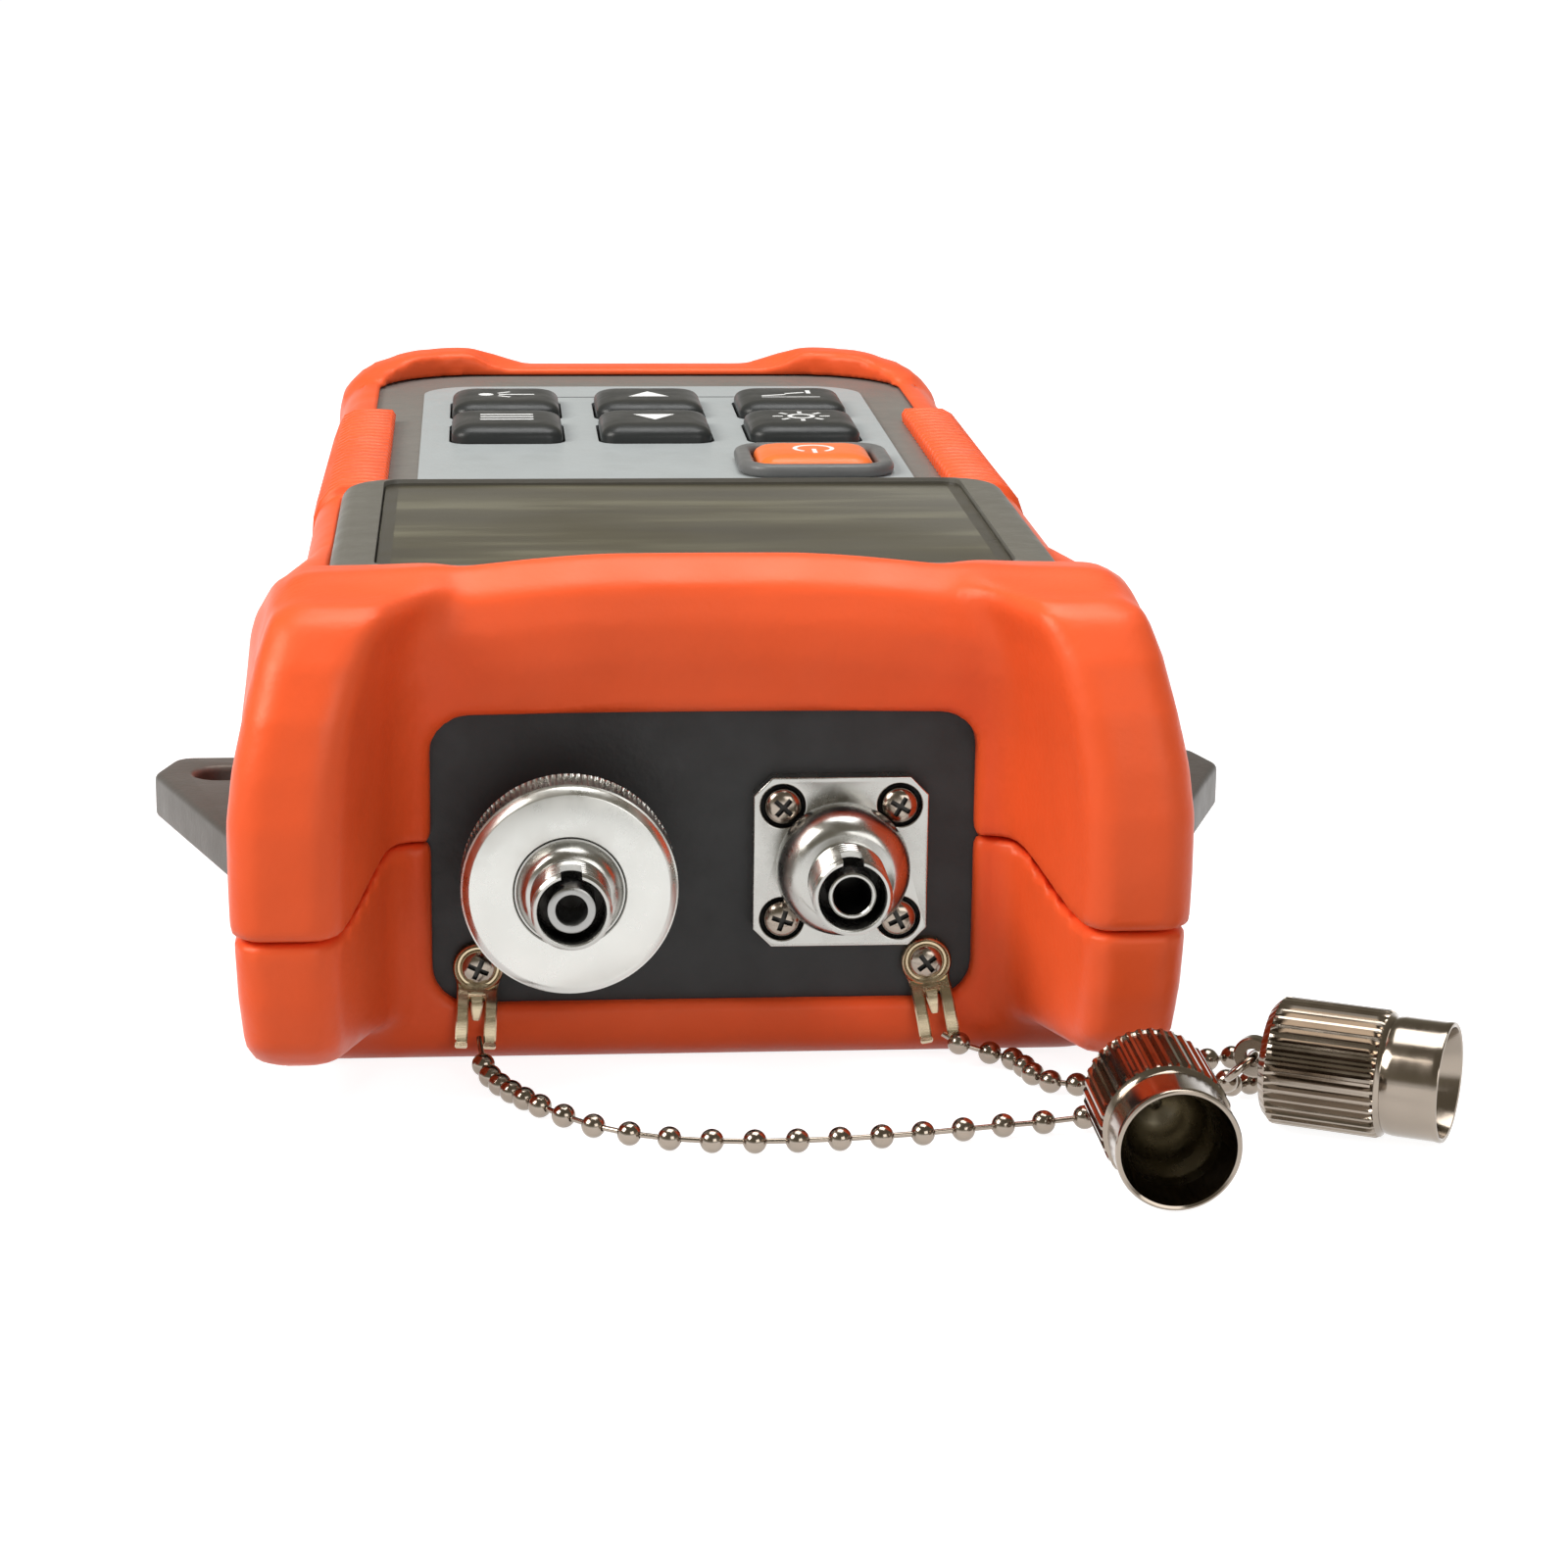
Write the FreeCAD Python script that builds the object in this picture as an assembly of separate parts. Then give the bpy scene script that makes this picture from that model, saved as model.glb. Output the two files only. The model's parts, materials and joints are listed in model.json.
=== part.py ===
import FreeCAD, Part
import math
import os

# Handheld optical time domain reflectometer, lying on its back.
# Millimetres. X to the right, Y from the connector end (-Y) to the far end,
# Z up from the surface it lies on. The origin is the middle of the underside.

V = FreeCAD.Vector
X_AXIS = V(1, 0, 0)
Y_AXIS = V(0, 1, 0)
Z_AXIS = V(0, 0, 1)

# --- rubber boot -----------------------------------------------------------
LENGTH = 198.0            # horn fronts to the far corner lobes
BODY_HALF = 42.0          # half width along the grip
BUMPER_HALF = 45.4        # half width behind the horns
HORN_HALF = 47.3          # half width over the horns
HORN_ROOT_INNER = 31.0    # where a horn's inner face meets the front wall
HORN_TIP_INNER = 36.0     # inner edge of a horn at its front
FOOT_SETBACK = 20.0       # front wall behind the horn fronts
LIP_SETBACK = 15.5        # top lip behind the horn fronts
LIP_DEPTH = 13.0
LIP_TOP = 54.1
LIP_DROP = 2.4            # fall of its top towards the display
LIP_FOOT_Z = 34.0         # where it starts to lean forward
LIP_NOSE_Z = 46.5         # and where it stands out most
RAIL_TOP = 48.4           # top of the side rails
TAIL_TOP = 50.5           # top of the far corner lobes
TAIL_SETBACK = 5.5        # far wall in front of the lobes' ends
TAIL_INNER = 21.0
TAIL_OUTER = 40.5
TAIL_DEPTH = 26.0
HORN_ROOT_DEPTH = 16.0    # a horn's rear end behind the front wall
HORN_FALL_Z = 40.0        # above this a horn draws back and leans in
HORN_FALL = 0.25          # lean of its inner face
# height, set back of its front, outer half width
HORN_LEVELS = [
    (5.0, 9.0, 44.0), (7.5, 3.6, 45.6), (13.0, 1.2, 46.6), (25.0, 0.0, HORN_HALF), (33.0, 0.3, 47.0),
    (40.0, 2.0, 45.4), (47.0, 4.6, 44.2), (50.6, 7.4, 43.0), (52.4, 10.6, 41.0),
]
# height, set back of its end
TAIL_LEVELS = [(10.0, 3.0), (20.0, 0.6), (34.0, 0.0), (44.0, 0.9), (48.5, 3.2), (TAIL_TOP, 7.0)]
PARTING_MID = 24.0        # joint of the two boots beside the end panel
PARTING_SIDE = 19.5       # and on the horns and sides
PARTING_SHIFT_IN = 31.5
PARTING_SHIFT_OUT = 37.0
GRIP_LENGTH = 57.0
GRIP_MID = 17.2            # from the display frame back
GRIP_INNER = 33.4          # over the edge of the casing
RAIL_INNER = 35.8
GRIP_PROUD = 0.7
GRIP_FOOT = 32.0
GRIP_RIBS = 24
RIB_GROOVE = 0.9

# --- casing ----------------------------------------------------------------
CASE_HALF = 38.6
CASE_CORNER = 8.0
CASE_BOTTOM = 2.6
CASE_SPLIT = 21.0
DECK = 47.2               # top face of the casing
WALL = 2.2
CASE_TO_TAIL = 7.0        # rubber behind the casing
SEAL_WIDTH = 1.0
SEAL_HEIGHT = 0.6
BOSS_R = 3.4
BOSS_TOP = 34.0           # casing bosses end below the display and the keys
POST_R = 2.6              # thinner posts for boards, tabs and lugs
SCREW_R = 1.25
SCREW_HEAD_R = 2.4
SCREW_HEAD = 1.6

# --- end panel and ports ---------------------------------------------------
PANEL_DEPTH = 22.0        # panel face behind the horn fronts
PANEL_THICK = 2.5
PANEL_OPEN_HALF = 27.8
PANEL_OPEN_LOW = 6.6
PANEL_OPEN_HIGH = 37.3
PANEL_LAP = 0.7           # panel edge covered by the boot
PANEL_CORNER = 4.0
PORT_X = 14.0
PORT_Z = 21.7
BARREL_R = 4.0            # M8 x 0.75 barrel of an FC port
BARREL_BORE_R = 3.3
SLEEVE_R = 2.4
FERRULE_R = 1.26
SLEEVE_MOUTH_R = 1.55
SLEEVE_MOUTH = 1.2
KEYWAY = 2.1
KEYWAY_DEPTH = 3.4
FLANGE_SIDE = 18.0
FLANGE_THICK = 2.0
FLANGE_CHAMFER = 1.9
FLANGE_PITCH = 12.0
FLANGE_SCREW = 6.0        # screw length under its head
DOME_R = 6.3
DOME_LENGTH = 6.0
TEST_REACH = 15.0         # barrel tip in front of the panel
TEST_REAR_R = 5.0
PORT_REAR = 13.0          # port bodies behind the panel face
M2_R = 1.0
M2_HEAD_R = 2.0
M2_HEAD = 1.2
STUB_R = 7.6
STUB_LENGTH = 9.5
STUB_BORE_R = 5.6
NUT_R = 10.7
NUT_THICK = 5.4
NUT_FACE = 1.4
NUT_HOLE_R = 5.6
NUT_FIT = 0.08
NUT_FLUTES = 60
NUT_FLUTE_R = 0.35
NUT_FLUTE_START = 0.8
INSERT_COLLAR_R = 7.0
INSERT_COLLAR = 0.8
INSERT_REACH = 6.9        # barrel tip in front of the nut face
INSERT_TAIL = 6.0
INSERT_FIT = 0.1          # radial, in the stub and the nut

# --- chain tabs ------------------------------------------------------------
TAB_INSET = 4.6           # from the side of the panel's opening
TAB_Z = 10.5
TAB_EYE_R = 2.6
TAB_THICK = 0.6
TAB_WIDTH = 4.2
TAB_SLOT = 1.3
TAB_END_Z = 2.9
TAB_BEND = 1.1            # bend below the eye
TAB_STANDOFF = 2.5        # how far the fingers stand in front of the panel
TAB_SWING = -10.0
TAB_SCREW = 7.0           # screw length under its head

# --- display ---------------------------------------------------------------
FRAME_HALF = 38.4
FRAME_LENGTH = 57.5
FRAME_TOP = 50.0
FRAME_CORNER = 4.0
WINDOW_HALF = 33.5
WINDOW_BORDER = 1.7       # bezel behind it
WINDOW_THICK = 1.2
WINDOW_LAP = 1.4
WINDOW_FROM_LIP = 5.5
LCD_THICK = 3.0
LIGHT_THICK = 2.6
BRACKET_THICK = 1.0
FIT = 0.2                 # general clearance between loose pieces

# --- keypad ----------------------------------------------------------------
OVERLAY_HALF = 30.0
OVERLAY_THICK = 0.6
OVERLAY_START = 7.0       # behind the display frame
OVERLAY_END = 19.8        # in front of the casing's far end
KEY_WIDTH = 14.2
KEY_DEPTH_SHARE = 0.2     # of the overlay's length
KEY_CORNER = 2.2
KEY_TOP = 50.0
KEY_FLANGE = 0.9
KEY_FLANGE_THICK = 1.2
KEY_PITCH_X = 19.0
KEY_PITCH_SHARE = 0.24    # of the overlay's length
KEY_ROW_SHARE = 0.728     # far row along the overlay
KEY_TRAVEL = 0.8
KEY_GAP = 0.3
POWER_X = 18.4
POWER_ROW_SHARE = 0.169
POWER_DEPTH_SHARE = 1 / 6
RING_WIDTH = 2.1
RING_TOP = 49.4
MAT_THICK = 1.0
MAT_PAD_R = 4.4
DOME_DISC_R = 4.0
DOME_DISC = 0.4
BOARD_THICK = 1.6
KEY_BOARD_TOP = 39.8
KEY_BOARD_HALF = 33.5
KEY_SCREW = 5.0           # screw length under its head

# --- inside ----------------------------------------------------------------
MAIN_BOARD_Z = 30.0
MAIN_BOARD_HALF = 34.0
MAIN_BOARD_START = 16.5   # behind the casing's front
MAIN_BOARD_END = 8.0      # in front of its far end
BOARD_SCREW = 6.0
STANDOFF_X = 31.4
STANDOFF_INSET = 22.0     # from the board's ends
SHIELD_MID = -2.0
SHIELD_WIDTH = 32.0
SHIELD_DEPTH = 36.0
SHIELD_START = 10.0       # behind the board's front
SHIELD_HEIGHT = 4.0
LINK_WIDTH = 18.0
LINK_DEPTH = 5.0
LINK_INSET = 54.0         # from the board's far end
MODULE_WIDTH = 36.0
MODULE_SIDE = 6.0         # module's right wall beyond its fibre
MODULE_DEPTH = 36.0
MODULE_HEIGHT = 22.0
LASER_R = 5.5
LASER_LENGTH = 26.0
FIBRE_R = 0.45
FIBRE_BEND = 15.0
FIBRE_SHIFT = 8.0
CELL_R = 9.2
CELL_LENGTH = 65.0
CELL_FRONT = 6.0
CELL_GAP = 0.6
CONTACT = 1.0
TRAY_WALL = 1.4
TRAY_HEIGHT = 12.0
DOOR_THICK = 1.5
DOOR_TRAVEL = 6.0
DOOR_OVERLAP = 2.4
DOOR_HOOK = 3.0
DOOR_RIBS = 6             # finger grip
DOOR_RIB = 0.8
DOOR_RIB_HALF = 8.0
DOOR_RIB_START = 6.0
HOOK_START = 6.0
HOOK_PITCH = 42.0
HOOK_HALF = 0.9
HOOK_OUT = 1.3            # hooks' middle outside the tray

# --- strap lugs ------------------------------------------------------------
LUG_THICK = 4.8
LUG_TIP = 57.6
LUG_ROOT = 31.5
LUG_SETBACK = 50.5        # its back edge behind the horn fronts
LUG_ROOT_LENGTH = 10.0
LUG_REACH = 36.0          # from its back edge to its nose inside the horn
LUG_SLOT_WIDTH = 5.6
LUG_SLOT_LENGTH = 7.0
LUG_SLOT_TO_TIP = 4.4
LUG_SLOT_FROM_BACK = 7.0
LUG_PEG_R = 1.6

# --- dust caps -------------------------------------------------------------
CAP_R = 6.35
CAP_COLLAR_R = 5.95
CAP_LENGTH = 18.0
CAP_KNURL = 12.0
CAP_MOUTH_R = 5.45
CAP_BORE_R = 4.25
CAP_MOUTH = 4.0
CAP_BORE = 13.0
CAP_FLUTES = 36
CAP_FLUTE_R = 0.42
CAP_FLUTE_START = 0.8
CAP_EYE = 2.1
CAP_EYE_HOLE = 0.95
CAP_EYE_THICK = 1.3
RING_MAJOR = 1.8
RING_MINOR = 0.4

# --- bead chains -----------------------------------------------------------
BEAD_R = 1.2
LEFT_CAP = (41.5, -124.0, 0.0)      # mouth x, y and turn about Z, degrees
RIGHT_CAP = (71.5, -106.4, 63.0)
LEFT_CHAIN = [
    (-23.2, -80.0, 3.7), (-23.0, -82.4, 1.7), (-22.0, -85.8, 1.25),
    (-19.9, -90.3, 1.25), (-16.5, -95.4, 1.25),
    (-12.2, -100.6, 1.25), (-6.4, -104.1, 1.25), (1.2, -105.7, 1.25), (10.3, -105.5, 1.25),
    (19.6, -104.3, 1.25), (28.6, -102.1, 1.25), (34.8, -101.2, 1.25),
    (39.0, -101.2, 2.1), (41.5, -101.75, 3.8),
]
RIGHT_CHAIN = [
    (24.7, -80.45, 3.5), (26.8, -81.4, 2.3), (29.8, -81.0, 1.5), (32.5, -82.8, 1.25),
    (32.9, -86.2, 1.25), (34.2, -89.6, 1.25), (37.8, -90.9, 1.25), (42.9, -90.3, 1.25),
    (47.0, -87.6, 1.25), (50.6, -84.2, 1.25), (54.4, -82.4, 1.25), (57.8, -84.2, 1.25),
    (58.2, -88.0, 1.25), (55.8, -90.8, 1.25), (52.9, -92.3, 1.5), (51.6, -94.4, 2.4),
    (51.67, -96.3, 3.8),
]

# --- places worked out from the sizes above ---------------------------------
FRONT = -LENGTH / 2
BACK = LENGTH / 2
FOOT_FRONT = FRONT + FOOT_SETBACK
LIP_FRONT = FRONT + LIP_SETBACK
LIP_BACK = LIP_FRONT + LIP_DEPTH
PANEL_FACE = FRONT + PANEL_DEPTH
CASE_FRONT = PANEL_FACE + PANEL_THICK
CASE_BACK = BACK - CASE_TO_TAIL
TAB_X = PANEL_OPEN_HALF - TAB_INSET
LUG_BACK = FRONT + LUG_SETBACK
LUG_SLOT_OUTER = LUG_TIP - LUG_SLOT_TO_TIP
LUG_SLOT_INNER = LUG_SLOT_OUTER - LUG_SLOT_LENGTH
MAIN_BOARD_FRONT = CASE_FRONT + MAIN_BOARD_START
MAIN_BOARD_BACK = CASE_BACK - MAIN_BOARD_END
CEILING = DECK - WALL
FLOOR = CASE_BOTTOM + WALL
FRAME_FRONT = LIP_BACK + FIT
FRAME_BACK = FRAME_FRONT + FRAME_LENGTH
WINDOW_FRONT = LIP_BACK + WINDOW_FROM_LIP
WINDOW_BACK = FRAME_BACK - WINDOW_BORDER
WINDOW_SEAT = FRAME_TOP - WINDOW_THICK
OVERLAY_FRONT = FRAME_BACK + OVERLAY_START
OVERLAY_BACK = CASE_BACK - OVERLAY_END
OVERLAY_LENGTH = OVERLAY_BACK - OVERLAY_FRONT
KEY_DEPTH = KEY_DEPTH_SHARE * OVERLAY_LENGTH
KEY_PITCH_Y = KEY_PITCH_SHARE * OVERLAY_LENGTH
KEY_ROW = OVERLAY_FRONT + KEY_ROW_SHARE * OVERLAY_LENGTH
POWER_Y = OVERLAY_FRONT + POWER_ROW_SHARE * OVERLAY_LENGTH
POWER_DEPTH = POWER_DEPTH_SHARE * OVERLAY_LENGTH
FLANGE_FACE = PANEL_FACE - FLANGE_THICK
PORT_WINDOW = PORT_X + STUB_R + FIT
INSERT_R = STUB_BORE_R - INSERT_FIT
STUB_FRONT = PANEL_FACE - STUB_LENGTH
COLLAR_FRONT = STUB_FRONT - INSERT_COLLAR
NUT_FRONT = COLLAR_FRONT - FIT / 2 - NUT_FACE
BOARD_TOP = MAIN_BOARD_Z + BOARD_THICK
KEY_BOARD_Z = KEY_BOARD_TOP - BOARD_THICK
FLANGE_BOTTOM = CEILING - FIT - KEY_FLANGE_THICK
DOOR_TOP = CASE_BOTTOM - FIT / 2
LUG_TOP = CASE_SPLIT + LUG_THICK
LUG_PEG_X = LUG_ROOT + 2.6
POST_FOOT = FLOOR - WALL / 2
CELL_X = CELL_R + CELL_GAP / 2
CELL_Z = FLOOR + CELL_R + FIT
TRAY_HALF = CELL_X + CELL_R + FIT + TRAY_WALL
TRAY_FRONT = CELL_FRONT - CONTACT - TRAY_WALL
TRAY_BACK = CELL_FRONT + CELL_LENGTH + CONTACT + TRAY_WALL
DOOR_HALF = TRAY_HALF + DOOR_OVERLAP
DOOR_FRONT = TRAY_FRONT - DOOR_OVERLAP
DOOR_BACK = TRAY_BACK + DOOR_OVERLAP


# --- helpers ---------------------------------------------------------------
def block(x, y, z):
    """Box from three (low, high) pairs."""
    size = [high - low for low, high in (x, y, z)]
    return Part.makeBox(size[0], size[1], size[2], V(x[0], y[0], z[0]))


def rod(radius, start, length, axis=Z_AXIS):
    return Part.makeCylinder(radius, length, V(*start), axis)


def tube(outer, inner, start, length, axis=Z_AXIS):
    return rod(outer, start, length, axis).cut(rod(inner, start, length, axis))


def rounded_wire(corners, place):
    """Closed wire through (u, v, radius) corners, each rounded by a tangent arc."""
    arcs = []
    count = len(corners)
    for i, (u, v, radius) in enumerate(corners):
        corner = place(u, v)
        back = place(*corners[i - 1][:2]).sub(corner).normalize()
        ahead = place(*corners[(i + 1) % count][:2]).sub(corner).normalize()
        half = back.getAngle(ahead) / 2
        reach = radius / math.tan(half)
        inward = back.add(ahead).normalize()
        middle = corner.add(inward * (radius / math.sin(half) - radius))
        arcs.append((corner.add(back * reach), middle, corner.add(ahead * reach)))
    edges = []
    for i, (start, middle, end) in enumerate(arcs):
        edges.append(Part.Arc(start, middle, end).toShape())
        edges.append(Part.LineSegment(end, arcs[(i + 1) % count][0]).toShape())
    return Part.Wire(edges)


def flat_wire(corners, z):
    return rounded_wire(corners, lambda u, v: V(u, v, z))


def plate(corners, z_low, z_high):
    """Prism over a rounded outline in plan."""
    return Part.Face(flat_wire(corners, z_low)).extrude(V(0, 0, z_high - z_low))


def rounded_box(half, y, z, radius):
    corners = [(half, y[0], radius), (half, y[1], radius), (-half, y[1], radius), (-half, y[0], radius)]
    return plate(corners, z[0], z[1])


def mirrored(corners):
    """Outline from its +X half, listed front to back."""
    left = [(-x, y, r) for x, y, r in reversed(corners)]
    return corners + left


def flip(shape):
    return shape.mirror(V(0, 0, 0), X_AXIS)


def soften(shape, radius, heights):
    """Round the flat edges of a prism at the given heights."""
    edges = []
    for edge in shape.Edges:
        box = edge.BoundBox
        if box.ZLength < 1e-6 and any(abs(box.ZMin - z) < 1e-6 for z in heights):
            edges.append(edge)
    return shape.makeFillet(radius, edges)


def fuse(shapes):
    return shapes[0].multiFuse(shapes[1:]).removeSplitter()


def group(shapes):
    return Part.makeCompound(shapes)


def turned(profile, start, axis):
    """Solid of revolution. profile is (along, radius) points from end to end."""
    points = [V(r, 0, s) for s, r in profile]
    points.append(points[0])
    face = Part.Face(Part.makePolygon(points))
    solid = face.revolve(V(0, 0, 0), Z_AXIS, 360)
    solid.Placement = FreeCAD.Placement(V(*start), FreeCAD.Rotation(Z_AXIS, axis))
    return solid


def pan_screw(head_r, head, radius, length, start, axis, recess=True):
    """Pan head screw. start is under the head, axis points out of the head."""
    shank = rod(radius, start, length, axis * -1)
    top = rod(head_r, start, head, axis)
    screw = shank.fuse(top)
    if recess:
        size = head_r * 0.55
        slot = block((-size, size), (-size / 4, size / 4), (head * 0.4, head * 1.1))
        cross = slot.fuse(slot.copy().rotate(V(0, 0, 0), Z_AXIS, 90))
        cross.Placement = FreeCAD.Placement(V(*start), FreeCAD.Rotation(Z_AXIS, axis))
        screw = screw.cut(cross)
    return screw


# --- rubber boot -----------------------------------------------------------
def horn():
    """Right front horn: outlines from its underside up."""
    wires = []
    for z, setback, outer in HORN_LEVELS:
        front = FRONT + setback
        above = max(0.0, z - HORN_FALL_Z)
        inner = HORN_TIP_INNER - above * HORN_FALL
        rear = FOOT_FRONT + HORN_ROOT_DEPTH - above
        wires.append(flat_wire([
            (inner, front, 3.4), (outer, front, 4.5), (outer, rear, 2.0),
            (HORN_ROOT_INNER, rear, 2.0), (HORN_ROOT_INNER, FOOT_FRONT, 2.0)], z))
    return Part.makeLoft(wires, True, True)


def tail_lobe():
    """Right lobe at the far corner."""
    wires = []
    for z, setback in TAIL_LEVELS:
        end = BACK - setback
        wires.append(flat_wire([
            (TAIL_INNER, end, 5.0), (TAIL_INNER, BACK - TAIL_DEPTH, 1.0),
            (TAIL_OUTER, BACK - TAIL_DEPTH, 1.0), (TAIL_OUTER, end, 14.0)], z))
    return Part.makeLoft(wires, True, True)


def lip():
    """Bar across the top of the connector end, leaning over the panel."""
    profile = [
        (FOOT_FRONT, LIP_FOOT_Z, 0.5), (LIP_FRONT, LIP_NOSE_Z, 3.0), (LIP_FRONT, LIP_TOP, 4.0),
        (LIP_BACK, LIP_TOP - LIP_DROP, 2.5), (LIP_BACK, LIP_FOOT_Z, 0.5)]
    reach = HORN_TIP_INNER + 1.0
    wire = rounded_wire(profile, lambda u, v: V(-reach, u, v))
    return Part.Face(wire).extrude(V(2 * reach, 0, 0))


def grip_pad():
    """Ribbed pad on the right rail."""
    low = GRIP_MID - GRIP_LENGTH / 2
    high = GRIP_MID + GRIP_LENGTH / 2
    top = RAIL_TOP + GRIP_PROUD
    side = BODY_HALF + GRIP_PROUD
    profile = [
        (GRIP_INNER, DECK - 1.0, 0.3), (GRIP_INNER, top, 0.8), (side, top, 3.4),
        (side, GRIP_FOOT, 0.8), (BODY_HALF - 2.0, GRIP_FOOT, 0.3)]
    wire = rounded_wire(profile, lambda u, v: V(u, low, v))
    pad = Part.Face(wire).extrude(V(0, high - low, 0))
    pitch = GRIP_LENGTH / GRIP_RIBS
    for i in range(1, GRIP_RIBS):
        y = low + i * pitch
        groove = (y - RIB_GROOVE / 2, y + RIB_GROOVE / 2)
        pad = pad.cut(block((GRIP_INNER - 1, side + 1), groove, (top - GRIP_PROUD, top + 1)))
    return pad


def boot_blank():
    outline = mirrored([
        (BUMPER_HALF, FOOT_FRONT, 8.0), (BUMPER_HALF, FOOT_FRONT + 20, 14.0),
        (BODY_HALF, FOOT_FRONT + 38, 20.0), (BODY_HALF, BACK - TAIL_SETBACK, 15.0)])
    tub = soften(plate(outline, 0, RAIL_TOP), 3.6, (0, RAIL_TOP))
    right = [horn(), tail_lobe(), grip_pad()]
    return fuse([tub, lip()] + right + [flip(shape) for shape in right])


def case_blank():
    blank = rounded_box(CASE_HALF, (CASE_FRONT, CASE_BACK), (CASE_BOTTOM, DECK), CASE_CORNER)
    return soften(blank, 2.0, (CASE_BOTTOM,))


def below_parting():
    """Everything under the stepped joint between the two boots."""
    reach = HORN_HALF + 5
    profile = [
        (-reach, -5), (-reach, PARTING_SIDE), (-PARTING_SHIFT_OUT, PARTING_SIDE),
        (-PARTING_SHIFT_IN, PARTING_MID), (PARTING_SHIFT_IN, PARTING_MID),
        (PARTING_SHIFT_OUT, PARTING_SIDE), (reach, PARTING_SIDE), (reach, -5)]
    points = [V(x, FRONT - 5, z) for x, z in profile]
    points.append(points[0])
    return Part.Face(Part.makePolygon(points)).extrude(V(0, LENGTH + 10, 0))


def panel_plate(lap, y, thick):
    """Rounded rectangle of the panel's opening, grown by lap."""
    half = PANEL_OPEN_HALF + lap
    low = PANEL_OPEN_LOW - lap
    high = PANEL_OPEN_HIGH + lap
    corner = PANEL_CORNER + lap
    corners = [(-half, low, corner), (half, low, corner), (half, high, corner), (-half, high, corner)]
    wire = rounded_wire(corners, lambda u, v: V(u, y, v))
    return Part.Face(wire).extrude(V(0, thick, 0))


def lug_plan(grow=0.0, hole=False):
    """Right strap lug, seen from above, from its root inside the casing to its tip."""
    root_front = LUG_BACK - LUG_ROOT_LENGTH
    nose = LUG_BACK - LUG_REACH
    corners = [
        (LUG_ROOT - grow, root_front - grow, 1.0), (CASE_HALF + 1.5, root_front - grow, 1.0),
        (HORN_HALF - 5.0, nose + 2.0, 1.5), (HORN_HALF - 0.6, nose, 1.5),
        (LUG_TIP, LUG_BACK - 7.0, 3.0), (LUG_TIP - 2.0, LUG_BACK + grow, 2.4),
        (LUG_ROOT - grow, LUG_BACK + grow, 1.0)]
    body = plate(corners, CASE_SPLIT - (grow if hole else 0), LUG_TOP + grow)
    return body


def deck_opening():
    """The boot's window over the display frame and the keypad."""
    wide = block((-CASE_HALF, CASE_HALF), (LIP_BACK, FRAME_BACK + FIT), (DECK - 0.01, LIP_TOP + 1))
    narrow = rounded_box(RAIL_INNER, (LIP_BACK, CASE_BACK - 6.0), (DECK - 0.01, LIP_TOP + 1), 14.0)
    low = GRIP_MID - GRIP_LENGTH / 2
    under_grip = block((GRIP_INNER, RAIL_INNER + 1), (low, low + GRIP_LENGTH), (DECK - 1, LIP_TOP + 2))
    return wide.fuse(narrow.cut(under_grip).cut(flip(under_grip)))


def door_opening():
    back = DOOR_BACK + DOOR_TRAVEL + FIT
    return rounded_box(DOOR_HALF + FIT, (DOOR_FRONT - FIT, back), (-1.0, CASE_BOTTOM + 0.01), 2.0)


def boots():
    rubber = boot_blank().cut(case_blank())
    rubber = rubber.cut(panel_plate(0.0, FRONT, PANEL_DEPTH + PANEL_THICK))
    rubber = rubber.cut(panel_plate(PANEL_LAP, PANEL_FACE, PANEL_THICK))
    lugs = lug_plan(FIT, True)
    for cutter in (deck_opening(), door_opening(), lugs, flip(lugs)):
        rubber = rubber.cut(cutter)
    under = below_parting()
    return rubber.cut(under), rubber.common(under)


# --- casing ----------------------------------------------------------------
def case_screw_places():
    x = CASE_HALF - WALL - BOSS_R + 0.4
    return [(side * x, y) for side in (-1, 1) for y in (CASE_FRONT + 10.0, -10.0, CASE_BACK - 10.0)]


def case_screws():
    screws = []
    for x, y in case_screw_places():
        start = (x, y, CASE_BOTTOM + SCREW_HEAD)
        screws.append(pan_screw(SCREW_HEAD_R, SCREW_HEAD, SCREW_R, CASE_SPLIT + 4, start, Z_AXIS * -1))
    return group(screws)


def standoff_places():
    span = (MAIN_BOARD_FRONT + STANDOFF_INSET, MAIN_BOARD_BACK - STANDOFF_INSET)
    return [(side * STANDOFF_X, y) for side in (-1, 1) for y in span]


def key_boss_places():
    back = OVERLAY_BACK - 4.0
    return [(side * (KEY_BOARD_HALF - 2.6), y) for side in (-1, 1) for y in (OVERLAY_FRONT + 1.0, back)]


def port_window(z_low, z_high):
    return block((-PORT_WINDOW, PORT_WINDOW), (CASE_FRONT - 1, CASE_FRONT + WALL + 1), (z_low, z_high))


def case_shell():
    span = (CASE_FRONT + WALL, CASE_BACK - WALL)
    inner = rounded_box(CASE_HALF - WALL, span, (FLOOR, CEILING), CASE_CORNER - WALL)
    shell = case_blank().cut(inner)
    return shell.cut(port_window(PORT_Z - PORT_WINDOW / 2, PORT_Z + PORT_WINDOW / 2))


def seal_loop(z_low, z_high):
    def outline(inset):
        span = (CASE_FRONT + inset, CASE_BACK - inset)
        return rounded_box(CASE_HALF - inset, span, (z_low, z_high), CASE_CORNER - inset)

    inset = (WALL - SEAL_WIDTH) / 2
    outer = outline(inset)
    inner = outline(inset + SEAL_WIDTH)
    return outer.cut(inner).cut(port_window(z_low, z_high))


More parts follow.
